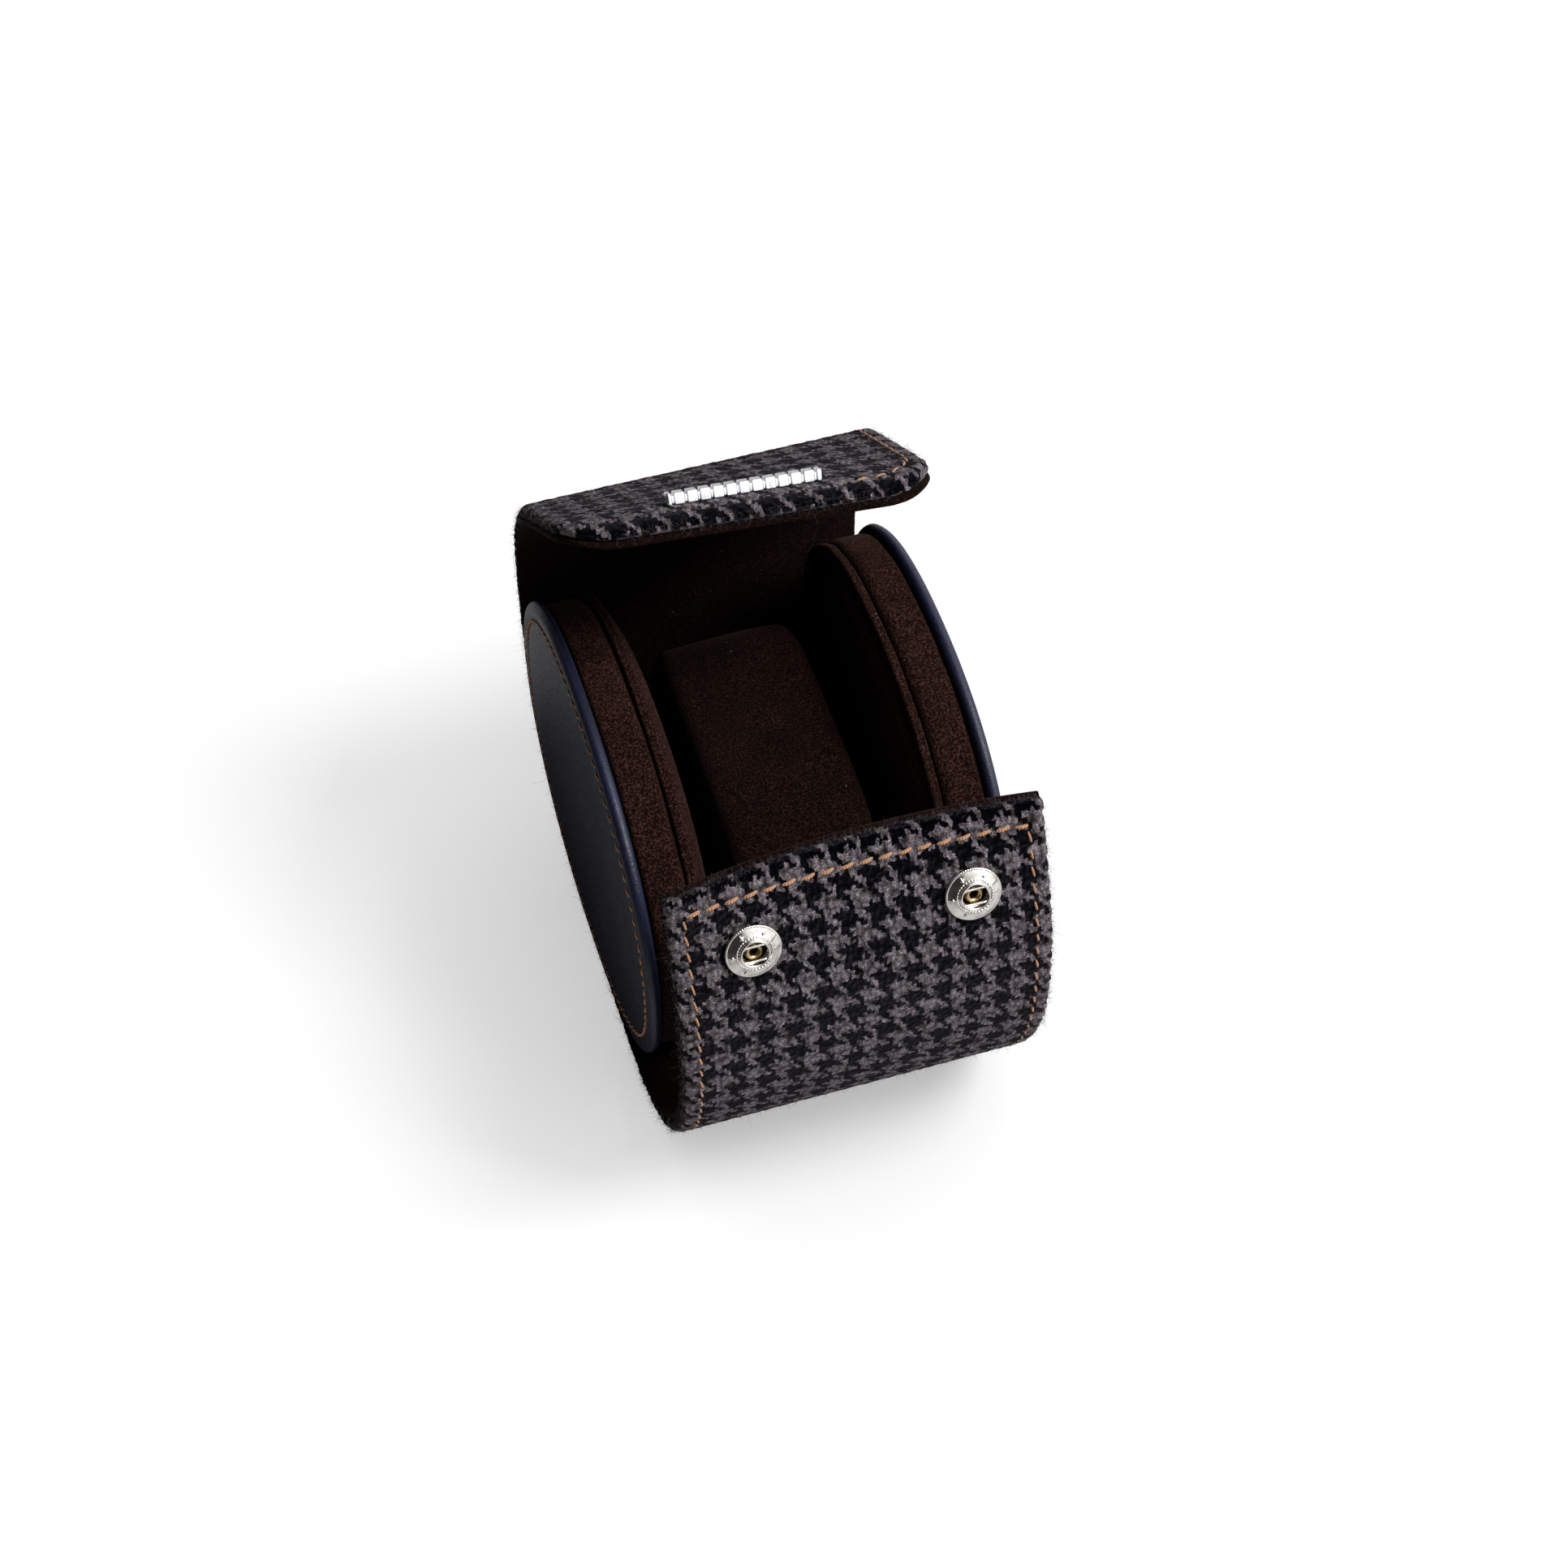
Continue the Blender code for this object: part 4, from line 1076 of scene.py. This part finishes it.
@dataclass
class EndPiece:
    """One end of the case: a stitched leather face, a suede band round a foam block, and a padded suede plate."""

    side: Side
    oval: Oval
    finishes: Finishes
    turns: int = 420
    seam: float = 4.3
    pitch: float = 3.2
    thread: float = 0.30
    thread_level: float = 40.5
    face: float = 40.78
    face_pole: float = 30.0
    dome: float = 0.55
    dome_width: float = 16.0
    lining: float = 39.9
    channel: Pair = (0.28, 0.9)
    pit: Pair = (0.18, 0.55)
    band_near: float = 28.7
    band_far: float = 37.7
    plate_pole: float = 25.0
    plate_near: float = 22.35
    plate_far: float = 28.4
    plate_swell: float = 3.9
    plate_power: float = 4.5

    def swept(self, name: str, profile: Array, material: Finish, closed: bool, wobble: float, seed: int) -> Piece:
        """Carries a profile round the oval.

        Each profile point is an inset, a shrink and a distance from the case's middle; a shrink of 0 is a pole.

        Args:
            name: the piece's name.
            profile: rows of inset, shrink and distance, from one pole or round a closed loop.
            material: its finish.
            closed: whether the profile's last point meets its first.
            wobble: how far the hand-made edge strays.
            seed: starts the wobble.

        Returns:
            The piece.
        """
        angle = np.arange(self.turns) * 2 * math.pi / self.turns
        inset = profile[:, 0][:, None] + wobble * ripple(np.cos(angle) * 40, np.sin(angle) * 40, seed, 30.0)[None]
        y, z = self.oval.ring(angle[None], inset, profile[:, 1][:, None])
        x = np.broadcast_to(self.side.value * profile[:, 2][:, None], y.shape)
        points = np.stack([x, y, z], -1)
        dimples = self.dimples(points) if name.endswith("leather_face") else 0.0
        points[..., 0] -= self.side.value * dimples
        faces = grid_faces(len(profile), self.turns, wrap_rows=closed, wrap_columns=True)
        made = mesh_object(name, points.reshape(-1, 3), faces, material)
        close_up(made)
        face_out(made)
        return made

    def seam_line(self) -> tuple[Array, Array]:
        """Places of the stitches' two ends on the leather face, as angles round the oval."""
        angle = np.linspace(0, 2 * math.pi, 4001)
        y, z = self.oval.ring(angle, self.seam)
        length = np.concatenate([[0], np.cumsum(np.hypot(np.diff(y), np.diff(z)))])
        count = round(length[-1] / self.pitch)
        starts = np.arange(count) * length[-1] / count
        return np.interp(starts + 0.25, length, angle), np.interp(starts + self.pitch - 0.35, length, angle)

    def dimples(self, points: Array) -> Array:
        """How far the thread pulls the leather in: a soft channel under the seam, and a pit at each needle hole."""
        angle = np.linspace(0, 2 * math.pi, 1600)
        y, z = self.oval.ring(angle, self.seam)
        flat = points[..., 1:]
        outer = np.abs(points[..., 0]) > self.lining
        depth = np.zeros(flat.shape[:2])
        for row in range(flat.shape[0]):
            if not outer[row].any():
                continue
            gap = np.min(np.hypot(flat[row][:, None, 0] - y[None], flat[row][:, None, 1] - z[None]), axis=1)
            depth[row] = self.channel[0] * bell(gap, self.channel[1]) * outer[row]
        starts, _ = self.seam_line()
        hole_y, hole_z = self.oval.ring(starts - 0.001, self.seam)
        for row in range(flat.shape[0]):
            if outer[row].any() and depth[row].max() > 0.05:
                gap = np.min(
                    np.hypot(flat[row][:, None, 0] - hole_y[None], flat[row][:, None, 1] - hole_z[None]), axis=1
                )
                depth[row] += self.pit[0] * bell(gap, self.pit[1]) * outer[row]
        return depth

    def face_level(self, inset: Array) -> Array:
        """Distance of the leather face from the case's middle: a low dome inside the seam, and flat outside it."""
        inside = np.clip((inset - self.seam) / self.dome_width, 0, 1)
        return self.face + self.dome * np.sin(inside * math.pi / 2)

    @staticmethod
    def rolled(inset: float, level: float, radius: float, turn: Pair, count: int) -> list[Triple]:
        """A rounded corner of a section: profile rows on a circle, from one angle to another in degrees."""
        angles = np.radians(np.linspace(*turn, count))
        return [(inset - radius * math.sin(a), 1.0, level + radius * math.cos(a)) for a in angles]

    def leather_profile(self) -> Array:
        """The leather cover's section: dome, rim, turned lip, then its inner face back to the middle."""
        pole, back = self.face_pole, self.lining
        shrinks = np.linspace(0.0, 1.0, 15) ** 0.8
        rows = [(pole, s, float(self.face_level(np.array(pole)))) for s in shrinks[:-1]]
        insets = np.concatenate([np.linspace(pole, 7, 24), np.linspace(6.6, 2.2, 14)])
        rows += [(i, 1.0, float(self.face_level(np.array(i)))) for i in insets]
        roll = np.radians(np.linspace(90, -90, 15))
        rows += [(1.45 - 1.45 * math.cos(a), 1.0, 39.4 + 1.42 * math.sin(a)) for a in roll]
        rows += [
            (2.2, 1.0, 38.0), (3.6, 1.0, 38.05), (3.6, 1.0, 38.85), (1.8, 1.0, 38.9), (0.95, 1.0, 39.2),
            (0.95, 1.0, 39.6), (1.6, 1.0, 39.88),
        ]
        rows += [(i, 1.0, back) for i in (4.0, 8.0, 20.0, pole)]
        rows += [(pole, s, back) for s in (0.6, 0.3, 0.0)]
        return np.array(rows)

    def band_profile(self) -> Array:
        """The suede band's section: a rounded outer wall with a lip turned in at each side."""
        near, far, inset, wall = self.band_near, self.band_far, 1.4, 1.1
        rows = self.rolled(inset + 2.4, near + 2.4, 2.4, (180, 90), 9)
        rows += self.rolled(inset + 1.2, far - 1.2, 1.2, (90, 0), 9)
        rows += [(inset + 4.9, 1.0, far), (inset + 4.9, 1.0, far - wall), (inset + 1.4, 1.0, far - wall)]
        rows += [
            (inset + wall, 1.0, far - wall - 0.4), (inset + wall, 1.0, near + wall + 1.2),
            (inset + 1.9, 1.0, near + wall),
        ]
        rows += [(inset + 4.9, 1.0, near + wall), (inset + 4.9, 1.0, near)]
        return np.array(rows)

    def plate_profile(self) -> Array:
        """The plate's section: a padded dome on its inner face, a sewn edge and a flat back."""
        pole, near, far = self.plate_pole, self.plate_near, self.plate_far
        rows = [(pole, s, near) for s in np.linspace(0, 1, 12)[:-1]]
        swell = np.linspace(0, 1, 18)
        rows += [(pole - 21.8 * t, 1.0, near + self.plate_swell * t**self.plate_power) for t in swell]
        rows += [(2.9, 1.0, 26.62), (2.55, 1.0, 26.72), *self.rolled(2.2, 27.0, 0.72, (200, 90), 8)]
        rows += [(1.75, 1.0, 27.42), *self.rolled(2.1, 27.9, 0.5, (95, 0), 6)]
        rows += [(i, 1.0, far) for i in (4.0, 12.0, pole)]
        rows += [(pole, s, far) for s in (0.66, 0.33, 0.0)]
        return np.array(rows)

    def stitches(self) -> Piece:
        """The seam round the leather face: each stitch is a bowed capsule that dips at both ends."""
        starts, ends = self.seam_line()
        t = np.linspace(0, 1, 9)
        angle = starts[:, None] + (ends - starts)[:, None] * t[None]
        bow = np.sin(math.pi * t)
        y, z = self.oval.ring(angle, self.seam - 0.28 * bow[None])
        lift = bow**0.6
        x = np.broadcast_to(self.side.value * (self.thread_level + 0.34 * lift - 0.25 * (1 - lift)), y.shape)
        return tube_batch(
            f"{self.side.word}_face_seam", np.stack([x, y, z], -1), self.thread * (0.6 + 0.4 * lift),
            self.finishes.thread,
        )

    def build(self) -> list[Piece]:
        """Builds the end's visible pieces and dresses its hidden ones."""
        word = self.side.word
        leather = self.swept(f"{word}_leather_face", self.leather_profile(), self.finishes.leather, False, 0.12, 11)
        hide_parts(f"{word}_leather_cover")
        band = self.swept(
            f"{word}_suede_band", self.band_profile(), self.finishes.suede, True, 0.22, 13 + self.side.value
        )
        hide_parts(f"{word}_side_band")
        plate = self.swept(
            f"{word}_padded_plate", self.plate_profile(), self.finishes.suede, False, 0.3, 17 + self.side.value
        )
        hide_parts(f"{word}_inner_plate")
        made = [leather, band, plate, self.stitches()]
        for piece in made:
            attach(piece, "case")
        dress(f"{word}_face_board", self.finishes.board)
        dress(f"{word}_side_block", self.finishes.foam)
        return made


def dress(node: str, material: Finish) -> None:
    """Gives a CAD node that stays a finish from this file."""
    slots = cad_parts[node].material_slots
    for slot in slots:
        slot.material = material


@dataclass
class Cushion:
    """The loose cushion: suede over foam, crowned on top, with soft edges."""

    finishes: Finishes
    half_width: float = 16.2
    half_depth: float = 39.0
    bottom: float = 4.55
    top: float = 71.0
    crown_power: float = 4.0
    foot_power: float = 2.4
    centre: float = 5.925
    rounding: float = 4.0
    edge_power: float = 2.3
    side_bulge: float = 0.25
    unevenness: float = 0.22

    def build(self) -> Piece:
        """Builds the cushion: an oval section whose edge draws in towards each side by a quarter of a superellipse."""
        turns, steps = 260, 64
        angle = np.arange(turns) * 2 * math.pi / turns
        slide = np.sin(np.linspace(-math.pi / 2, math.pi / 2, steps))
        x = slide * self.half_width
        left = np.clip((np.abs(x) - (self.half_width - self.rounding)) / self.rounding, 0, 1)
        edge = 1 - (1 - left**self.edge_power) ** (1 / self.edge_power)
        draw = self.rounding * edge + self.side_bulge * (x / self.half_width) ** 2
        half_height = (self.top - self.bottom) / 2
        power = np.where(angle <= math.pi, self.crown_power, self.foot_power)[None]
        dy, dz = superellipse(angle[None], self.half_depth - draw[:, None], half_height - draw[:, None], power)
        wave = self.unevenness * ripple(x[:, None], angle[None] * 35, 21, 24.0, 2)
        reach = np.hypot(dy, dz)
        y = self.centre + dy * (1 + wave / reach)
        z = self.bottom + half_height + dz * (1 + wave / reach)
        rings = np.stack([np.broadcast_to(x[:, None], y.shape), y, z], -1)
        shrinks = np.linspace(1, 0, 9)[1:]
        middle = np.array([0.0, self.centre, self.bottom + half_height])
        caps = []
        for end, sign in ((0, -1), (-1, 1)):
            flat = rings[end][None] - middle
            cap = flat * np.array([1.0, 0, 0]) + flat * shrinks[:, None, None] * np.array([0, 1.0, 1.0]) + middle
            caps.append(cap[::-1] if sign < 0 else cap)
        points = np.concatenate([caps[0], rings, caps[1]])
        # The cushion takes the darker suede copy, which is painted shade for the inside of the case.
        made = mesh_object(
            "suede_cushion", points.reshape(-1, 3), grid_faces(len(points), turns, wrap_columns=True),
            self.finishes.shaded_suede,
        )
        close_up(made)
        face_out(made)
        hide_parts("watch_cushion")
        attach(made, "case")
        return made


@dataclass
class Snaps:
    """The snap fittings: sockets with sprung wires on the front panel, and studs under the flap."""

    line: StripLine
    finishes: Finishes
    spacing: float = 46.6
    setback: float = 17.0
    turns: int = 96
    rim_radius: float = 5.95
    star_radius: float = 4.7
    bead_radius: float = 3.76
    teeth: int = 72
    stars: int = 6
    beads: int = 34
    mill_depth: float = 0.16
    bead_height: float = 0.22
    star_height: float = 0.24
    star_arm: Pair = (0.14, 0.42)
    wire_radius: float = 0.28
    wire_height: float = 1.93
    wire_reach: float = 3.62
    wire_bend: float = 1.75

    def lathe(self, name: str, profile: Array, seat: Matrix, material: Finish, marks: bool = False) -> Piece:
        """Turns a closed profile of radius and height about the seat's Z.

        Args:
            name: the piece's name.
            profile: rows of radius and height.
            seat: the fitting's frame, in millimetres.
            material: its finish.
            marks: whether the cap has its milled rim, beads and stars.

        Returns:
            The piece.
        """
        turns = self.turns * (4 if marks else 1)
        angle = np.arange(turns) * 2 * math.pi / turns
        radius, height = profile[:, 0][:, None], profile[:, 1][:, None]
        if marks:
            outer = height > 0.95
            rim = bell(radius - self.rim_radius, 0.16)
            bead = bell(radius - self.bead_radius, 0.13) * outer * (height < 1.95)
            turn = np.mod(angle * self.stars / (2 * math.pi) + 0.5, 1.0) - 0.5
            away, across = radius - self.star_radius, turn[None] * 2 * math.pi / self.stars * self.star_radius
            thin, long = self.star_arm
            star = bell(away, thin) * bell(across, long) + bell(away, long) * bell(across, thin)
            radius = radius - self.mill_depth * rim * (0.5 + 0.5 * np.cos(angle * self.teeth))[None]
            beaded = self.bead_height * bead * (0.5 + 0.5 * np.cos(angle * self.beads))[None]
            height = height + beaded + self.star_height * np.clip(star, 0, 1) * outer
        radius, height = np.broadcast_arrays(radius + 0 * angle[None], height + 0 * angle[None])
        local = np.stack([radius * np.cos(angle), radius * np.sin(angle), height, np.ones_like(radius)], -1)
        points = local @ np.array(seat).T
        made = mesh_object(
            name, points[..., :3].reshape(-1, 3),
            grid_faces(len(profile), len(angle), wrap_rows=True, wrap_columns=True), material,
        )
        close_up(made)
        face_out(made)
        return made

    @staticmethod
    def cap_profile() -> Array:
        """The socket's section: a milled edge, a dished ring, a bead ring and a rolled mouth over a hollow chamber."""
        rows = [
            (1.8, 0.3), (5.75, 0.3), (5.98, 0.42), (6.06, 0.6), (6.06, 0.82), (5.98, 0.96), (5.8, 1.02), (5.6, 0.98)
        ]
        ring = np.linspace(0, 1, 16)
        rows += [(5.5 - 1.5 * t, 0.98 + 0.80 * t**0.8) for t in ring]
        rows += [(r, 1.84) for r in (3.92, 3.84, 3.76, 3.68, 3.6)] + [(3.48, 1.74), (3.36, 1.72)]
        rows += [(2.98 + 0.34 * math.cos(a), 1.98 + 0.34 * math.sin(a)) for a in np.radians(np.linspace(-30, 215, 18))]
        rows += [(2.85, 1.62), (4.2, 1.55), (4.2, 0.75), (1.8, 0.75)]
        return np.array(rows)

    def socket(self, side: Side) -> list[Piece]:
        """Builds one socket with its rivet and its spring."""
        seat = self.line.frame_at(side.value * self.spacing / 2, self.setback, 0.0)
        word = side.word
        cap = self.lathe(f"{word}_socket_cap", self.cap_profile(), seat, self.finishes.nickel, True)
        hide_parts(f"{word}_snap_socket")
        rivet = self.lathe(f"{word}_rolled_rivet", self.rivet_profile(-1.7, 1.05, 4.6), seat, self.finishes.brass)
        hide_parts(f"{word}_socket_rivet")
        bend = self.wire_bend
        tip = math.sqrt(self.wire_reach**2 - bend**2)
        turn = np.radians(np.linspace(90, -90, 13))
        loop = [(tip - bend + bend * math.cos(a), bend * math.sin(a)) for a in turn]
        flat = np.array([(-tip, bend), (-tip / 2, bend), *loop, (-tip / 2, -bend), (-tip, -bend)])
        level = np.full((len(flat), 1), self.wire_height)
        local = np.concatenate([flat, level, np.ones((len(flat), 1))], 1) @ np.array(seat).T
        spring = tube_batch(
            f"{word}_sprung_wire", local[None, :, :3], np.full(len(flat), self.wire_radius), self.finishes.nickel, 10
        )
        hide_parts(f"{word}_snap_spring")
        return [cap, rivet, spring]

    @staticmethod
    def rivet_profile(head: float, roll: float, wide: float) -> Array:
        """A hollow rivet's section: a hidden head, a shank and a rolled end."""
        rows = [(0.9, head - 0.6), (wide, head - 0.6), (wide, head), (1.5, head), (1.5, roll)]
        turn = np.radians(np.linspace(-60, 60, 5))
        rows += [(1.5 + 0.3 * (1 - math.cos(a)) + 0.3, roll + 0.15 * math.sin(a)) for a in turn]
        rows += [(1.5, roll + 0.3), (1.15, roll + 0.22), (0.9, roll)]
        return np.array(rows)

    def stud(self, side: Side) -> list[Piece]:
        """Builds one stud under the flap with its rivet."""
        seat = self.line.frame_at(side.value * self.spacing / 2, self.line.total - self.setback, 4.2)
        word = side.word
        rows = [
            (1.8, 0.3), (4.9, 0.3), (5.0, 0.45), (5.0, 0.75), (4.8, 0.9), (2.6, 0.95), (2.3, 1.15), (2.25, 2.2),
            (2.5, 2.6), (2.5, 2.9), (2.25, 3.3), (1.8, 3.5),
        ]
        cap = self.lathe(f"{word}_stud_cap", np.array(rows), seat, self.finishes.nickel)
        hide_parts(f"{word}_snap_stud")
        rivet = self.lathe(f"{word}_stud_rolled_rivet", self.rivet_profile(-1.35, 3.8, 4.6), seat, self.finishes.nickel)
        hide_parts(f"{word}_stud_rivet")
        return [cap, rivet]

    def build(self) -> list[Piece]:
        """Builds both pairs."""
        made = []
        for side in Side:
            for piece in self.socket(side):
                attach(piece, "front_panel")
                made.append(piece)
            for piece in self.stud(side):
                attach(piece, "flap")
                made.append(piece)
        return made


@dataclass
class FlutedBar:
    """The flap's plain metal bar, nicked across at even steps."""

    line: StripLine
    finishes: Finishes
    half_length: float = 16.5
    half_width: float = 1.6
    height: float = 2.2
    setback: float = 7.5
    blocks: int = 12

    def build(self) -> Piece:
        """Builds the bar: a soft box section that draws in sharply at each nick and at both ends."""
        seat = self.line.frame_at(0.0, self.line.total - self.setback, 0.0)
        long = np.linspace(-1, 1, 481)
        x = long * self.half_length
        end = np.clip((np.abs(x) - (self.half_length - 0.5)) / 0.5, 0, 1)
        block = np.abs(np.mod(long * self.blocks / 2 + 0.5, 1.0) - 0.5) * 2
        nick = np.clip((block - 0.72) / 0.16, 0, 1)
        draw = 0.65 * nick * (3 - 2 * nick) * nick + 0.35 * (1 - np.sqrt(np.clip(1 - end**2, 0, 1)))
        section = np.array(
            [(-1, 0.0), (-1, 0.82), (-0.93, 0.94), (-0.8, 1.0), (0.8, 1.0), (0.93, 0.94), (1, 0.82), (1, 0.0)]
        )
        y = (self.half_width - draw)[:, None] * section[None, :, 0]
        z = 0.3 + (self.height - draw)[:, None] * section[None, :, 1]
        local = np.stack([np.broadcast_to(x[:, None], y.shape), y, z, np.ones_like(y)], -1)
        points = (local @ np.array(seat).T)[..., :3].reshape(-1, 3)
        faces = grid_faces(len(x), len(section), wrap_columns=True).tolist()
        last = len(points) - len(section)
        faces += [list(range(len(section))), list(range(last, len(points)))]
        bar = mesh_object("nicked_bar", points, faces, self.finishes.chrome)
        face_out(bar)
        crisp(bar, 38.0)
        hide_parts("trim_bar")
        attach(bar, "flap")
        return bar


@dataclass(frozen=True)
class Softbox:
    """A lamp that faces the case: its place and size are in metres and its power is in watts."""

    name: str
    place: Triple
    size: Pair
    power: float
    colour: str

    def build(self) -> None:
        """Adds the lamp to the scene."""
        data = bpy.data.lights.new(self.name, "AREA")
        data.shape = "RECTANGLE"
        data.size, data.size_y = self.size
        data.energy = self.power
        data.color = linear(self.colour)[:3]
        made = bpy.data.objects.new(self.name, data)
        spot = Vector(self.place)
        made.location = spot
        made.rotation_euler = (Vector((0, 0, 0.05)) - spot).to_track_quat("-Z", "Y").to_euler()
        bpy.context.scene.collection.objects.link(made)


@dataclass(frozen=True)
class Studio:
    """The white studio: floor, lamps, world and camera. Lengths of the floor are in metres."""

    position: Triple = (-127.688, -412.18, 608.907)
    right: Triple = (0.95441, -0.29848, 0.00255)
    up: Triple = (0.23328, 0.75122, 0.61745)
    back: Triple = (-0.18621, -0.58870, 0.78661)
    focal_px: float = 3922.45
    frame_px: int = 1932
    sensor_mm: float = 36.0
    floor_reach: float = 3.0
    contact_reach: float = 0.085
    fade: Pair = (0.16, 0.34)
    room_fill: float = 0.035
    mirror_range: Pair = (0.05, 1.5)
    lamps: tuple[Softbox, ...] = (
        Softbox("key_softbox", (0.72, -0.38, 1.21), (0.58, 0.58), 21.0, "#ffffff"),
        Softbox("front_fill", (0.85, -1.25, 0.7), (0.6, 0.7), 1.2, "#fdfdff"),
    )

    def camera(self) -> Piece:
        """Places the camera where the photograph was taken from."""
        data = bpy.data.cameras.new("studio_camera")
        data.sensor_width = self.sensor_mm
        data.sensor_fit = "HORIZONTAL"
        data.lens = self.focal_px / self.frame_px * self.sensor_mm
        data.clip_start, data.clip_end = 0.01, 20.0
        made = bpy.data.objects.new("studio_camera", data)
        matrix = Matrix((self.right, self.up, self.back)).transposed().to_4x4()
        matrix.translation = Vector(self.position) * MM
        made.matrix_world = matrix
        bpy.context.scene.collection.objects.link(made)
        bpy.context.scene.camera = made
        return made

    def floor(self) -> None:
        """Lays a white floor that keeps the case's shadow and runs out to pure white."""
        material = bpy.data.materials.new("white_sweep")
        material.use_nodes = True
        tree = material.node_tree
        tree.nodes.clear()
        matt = add(tree, "BsdfDiffuse", {"Color": linear("#f4f3f5")}).outputs[0]
        # Painted contact shadow: the floor's glow as seen is dimmed where ambient occlusion finds the case close by.
        open_sky = add(tree, "AmbientOcclusion", {"Distance": self.contact_reach}, samples=8).outputs["AO"]
        level = spread(tree, open_sky, (0.25, 0.95), (0.45, 0.80))
        glow_with_painted_contact_shadow = add(tree, "Emission", {"Color": (1.0, 0.985, 1.0, 1.0), "Strength": level}).outputs[0]
        thin = add(tree, "BsdfDiffuse", {"Color": linear("#a8a8a8")}).outputs[0]
        both = add(tree, "AddShader", {0: thin, 1: glow_with_painted_contact_shadow}).outputs[0]
        path = add(tree, "LightPath").outputs
        seen = path["Is Camera Ray"]
        place = add(tree, "TexCoord").outputs["Object"]
        leftwards = add(tree, "SeparateXYZ", {0: place}).outputs[0]
        # Painted reflection: seen in mirrors, the floor towards the left is replaced by a faint dark emission.
        shaded = spread(tree, leftwards, (-0.03, -0.30), (0.0, 0.9), smooth=True)
        painted_reflection_shade = maths(tree, "MULTIPLY", shaded, path["Is Glossy Ray"])
        painted_dark_floor_in_mirrors = add(tree, "Emission", {"Strength": 0.04}).outputs[0]
        rest = add(tree, "MixShader", {0: painted_reflection_shade, 1: matt, 2: painted_dark_floor_in_mirrors}).outputs[0]
        near = add(tree, "MixShader", {0: seen, 1: rest, 2: both}).outputs[0]
        reach = add(tree, "VectorMath", {0: place}, operation="LENGTH").outputs["Value"]
        far = spread(tree, reach, self.fade, smooth=True)
        white = add(tree, "Emission", {"Strength": 1.0}).outputs[0]
        blank = maths(tree, "MULTIPLY", far, seen)
        ends = add(tree, "MixShader", {0: blank, 1: near, 2: white}).outputs[0]
        add(tree, "OutputMaterial", {0: ends})
        signs = ((-1, -1), (1, -1), (1, 1), (-1, 1))
        corners = [(x * self.floor_reach, y * self.floor_reach, -1e-5) for x, y in signs]
        mesh = bpy.data.meshes.new("studio_floor")
        mesh.from_pydata(corners, [], [(0, 1, 2, 3)])
        mesh.materials.append(material)
        made = bpy.data.objects.new("studio_floor", mesh)
        bpy.context.scene.collection.objects.link(made)

    def world(self) -> None:
        """Fills the room with soft light: white as seen, and in mirrors bright above and right but dim at the left."""
        world = bpy.data.worlds.new("white_room")
        bpy.context.scene.world = world
        world.use_nodes = True
        tree = world.node_tree
        tree.nodes.clear()
        white = (1.0, 1.0, 1.0, 1.0)
        fill = add(tree, "Background", {"Color": white, "Strength": self.room_fill}).outputs[0]
        show = add(tree, "Background", {"Color": white, "Strength": 1.0}).outputs[0]
        path = add(tree, "LightPath").outputs
        split = add(tree, "SeparateXYZ", {0: add(tree, "TexCoord").outputs["Generated"]}).outputs
        way = maths(tree, "MULTIPLY_ADD", split[2], 0.4, split[0])
        bright = spread(tree, way, (-0.03, 0.5), self.mirror_range, smooth=True)
        mirror = add(tree, "Background", {"Color": white, "Strength": bright}).outputs[0]
        glossy = add(tree, "MixShader", {0: path["Is Glossy Ray"], 1: fill, 2: mirror}).outputs[0]
        seen = maths(tree, "MAXIMUM", path["Is Camera Ray"], path["Is Transmission Ray"])
        mixed = add(tree, "MixShader", {0: seen, 1: glossy, 2: show}).outputs[0]
        add(tree, "OutputWorld", {0: mixed})

    def build(self) -> None:
        """Sets the whole studio up."""
        scene = bpy.context.scene
        scene.view_settings.view_transform = "Standard"
        self.camera()
        self.floor()
        self.world()
        for lamp in self.lamps:
            lamp.build()


def main() -> None:
    """Builds the studio and the case, one sub-assembly after another."""
    logging.basicConfig(level=logging.INFO, format="%(message)s")
    Studio().build()
    finishes = Finishes()
    oval = Oval()
    line = StripLine(oval)
    wrap = Wrap(line, finishes)
    pieces = wrap.build()
    fibres = StrayFibres(wrap)
    pieces += [fibres.build(True), fibres.build(False)]
    for side in Side:
        pieces += EndPiece(side, oval, finishes).build()
    pieces.append(Cushion(finishes).build())
    pieces += Snaps(line, finishes).build()
    pieces.append(FlutedBar(line, finishes).build())
    for piece in pieces:
        LOG.info("%s: %d faces", piece.name, len(piece.data.polygons))


if __name__ == "__main__":
    main()
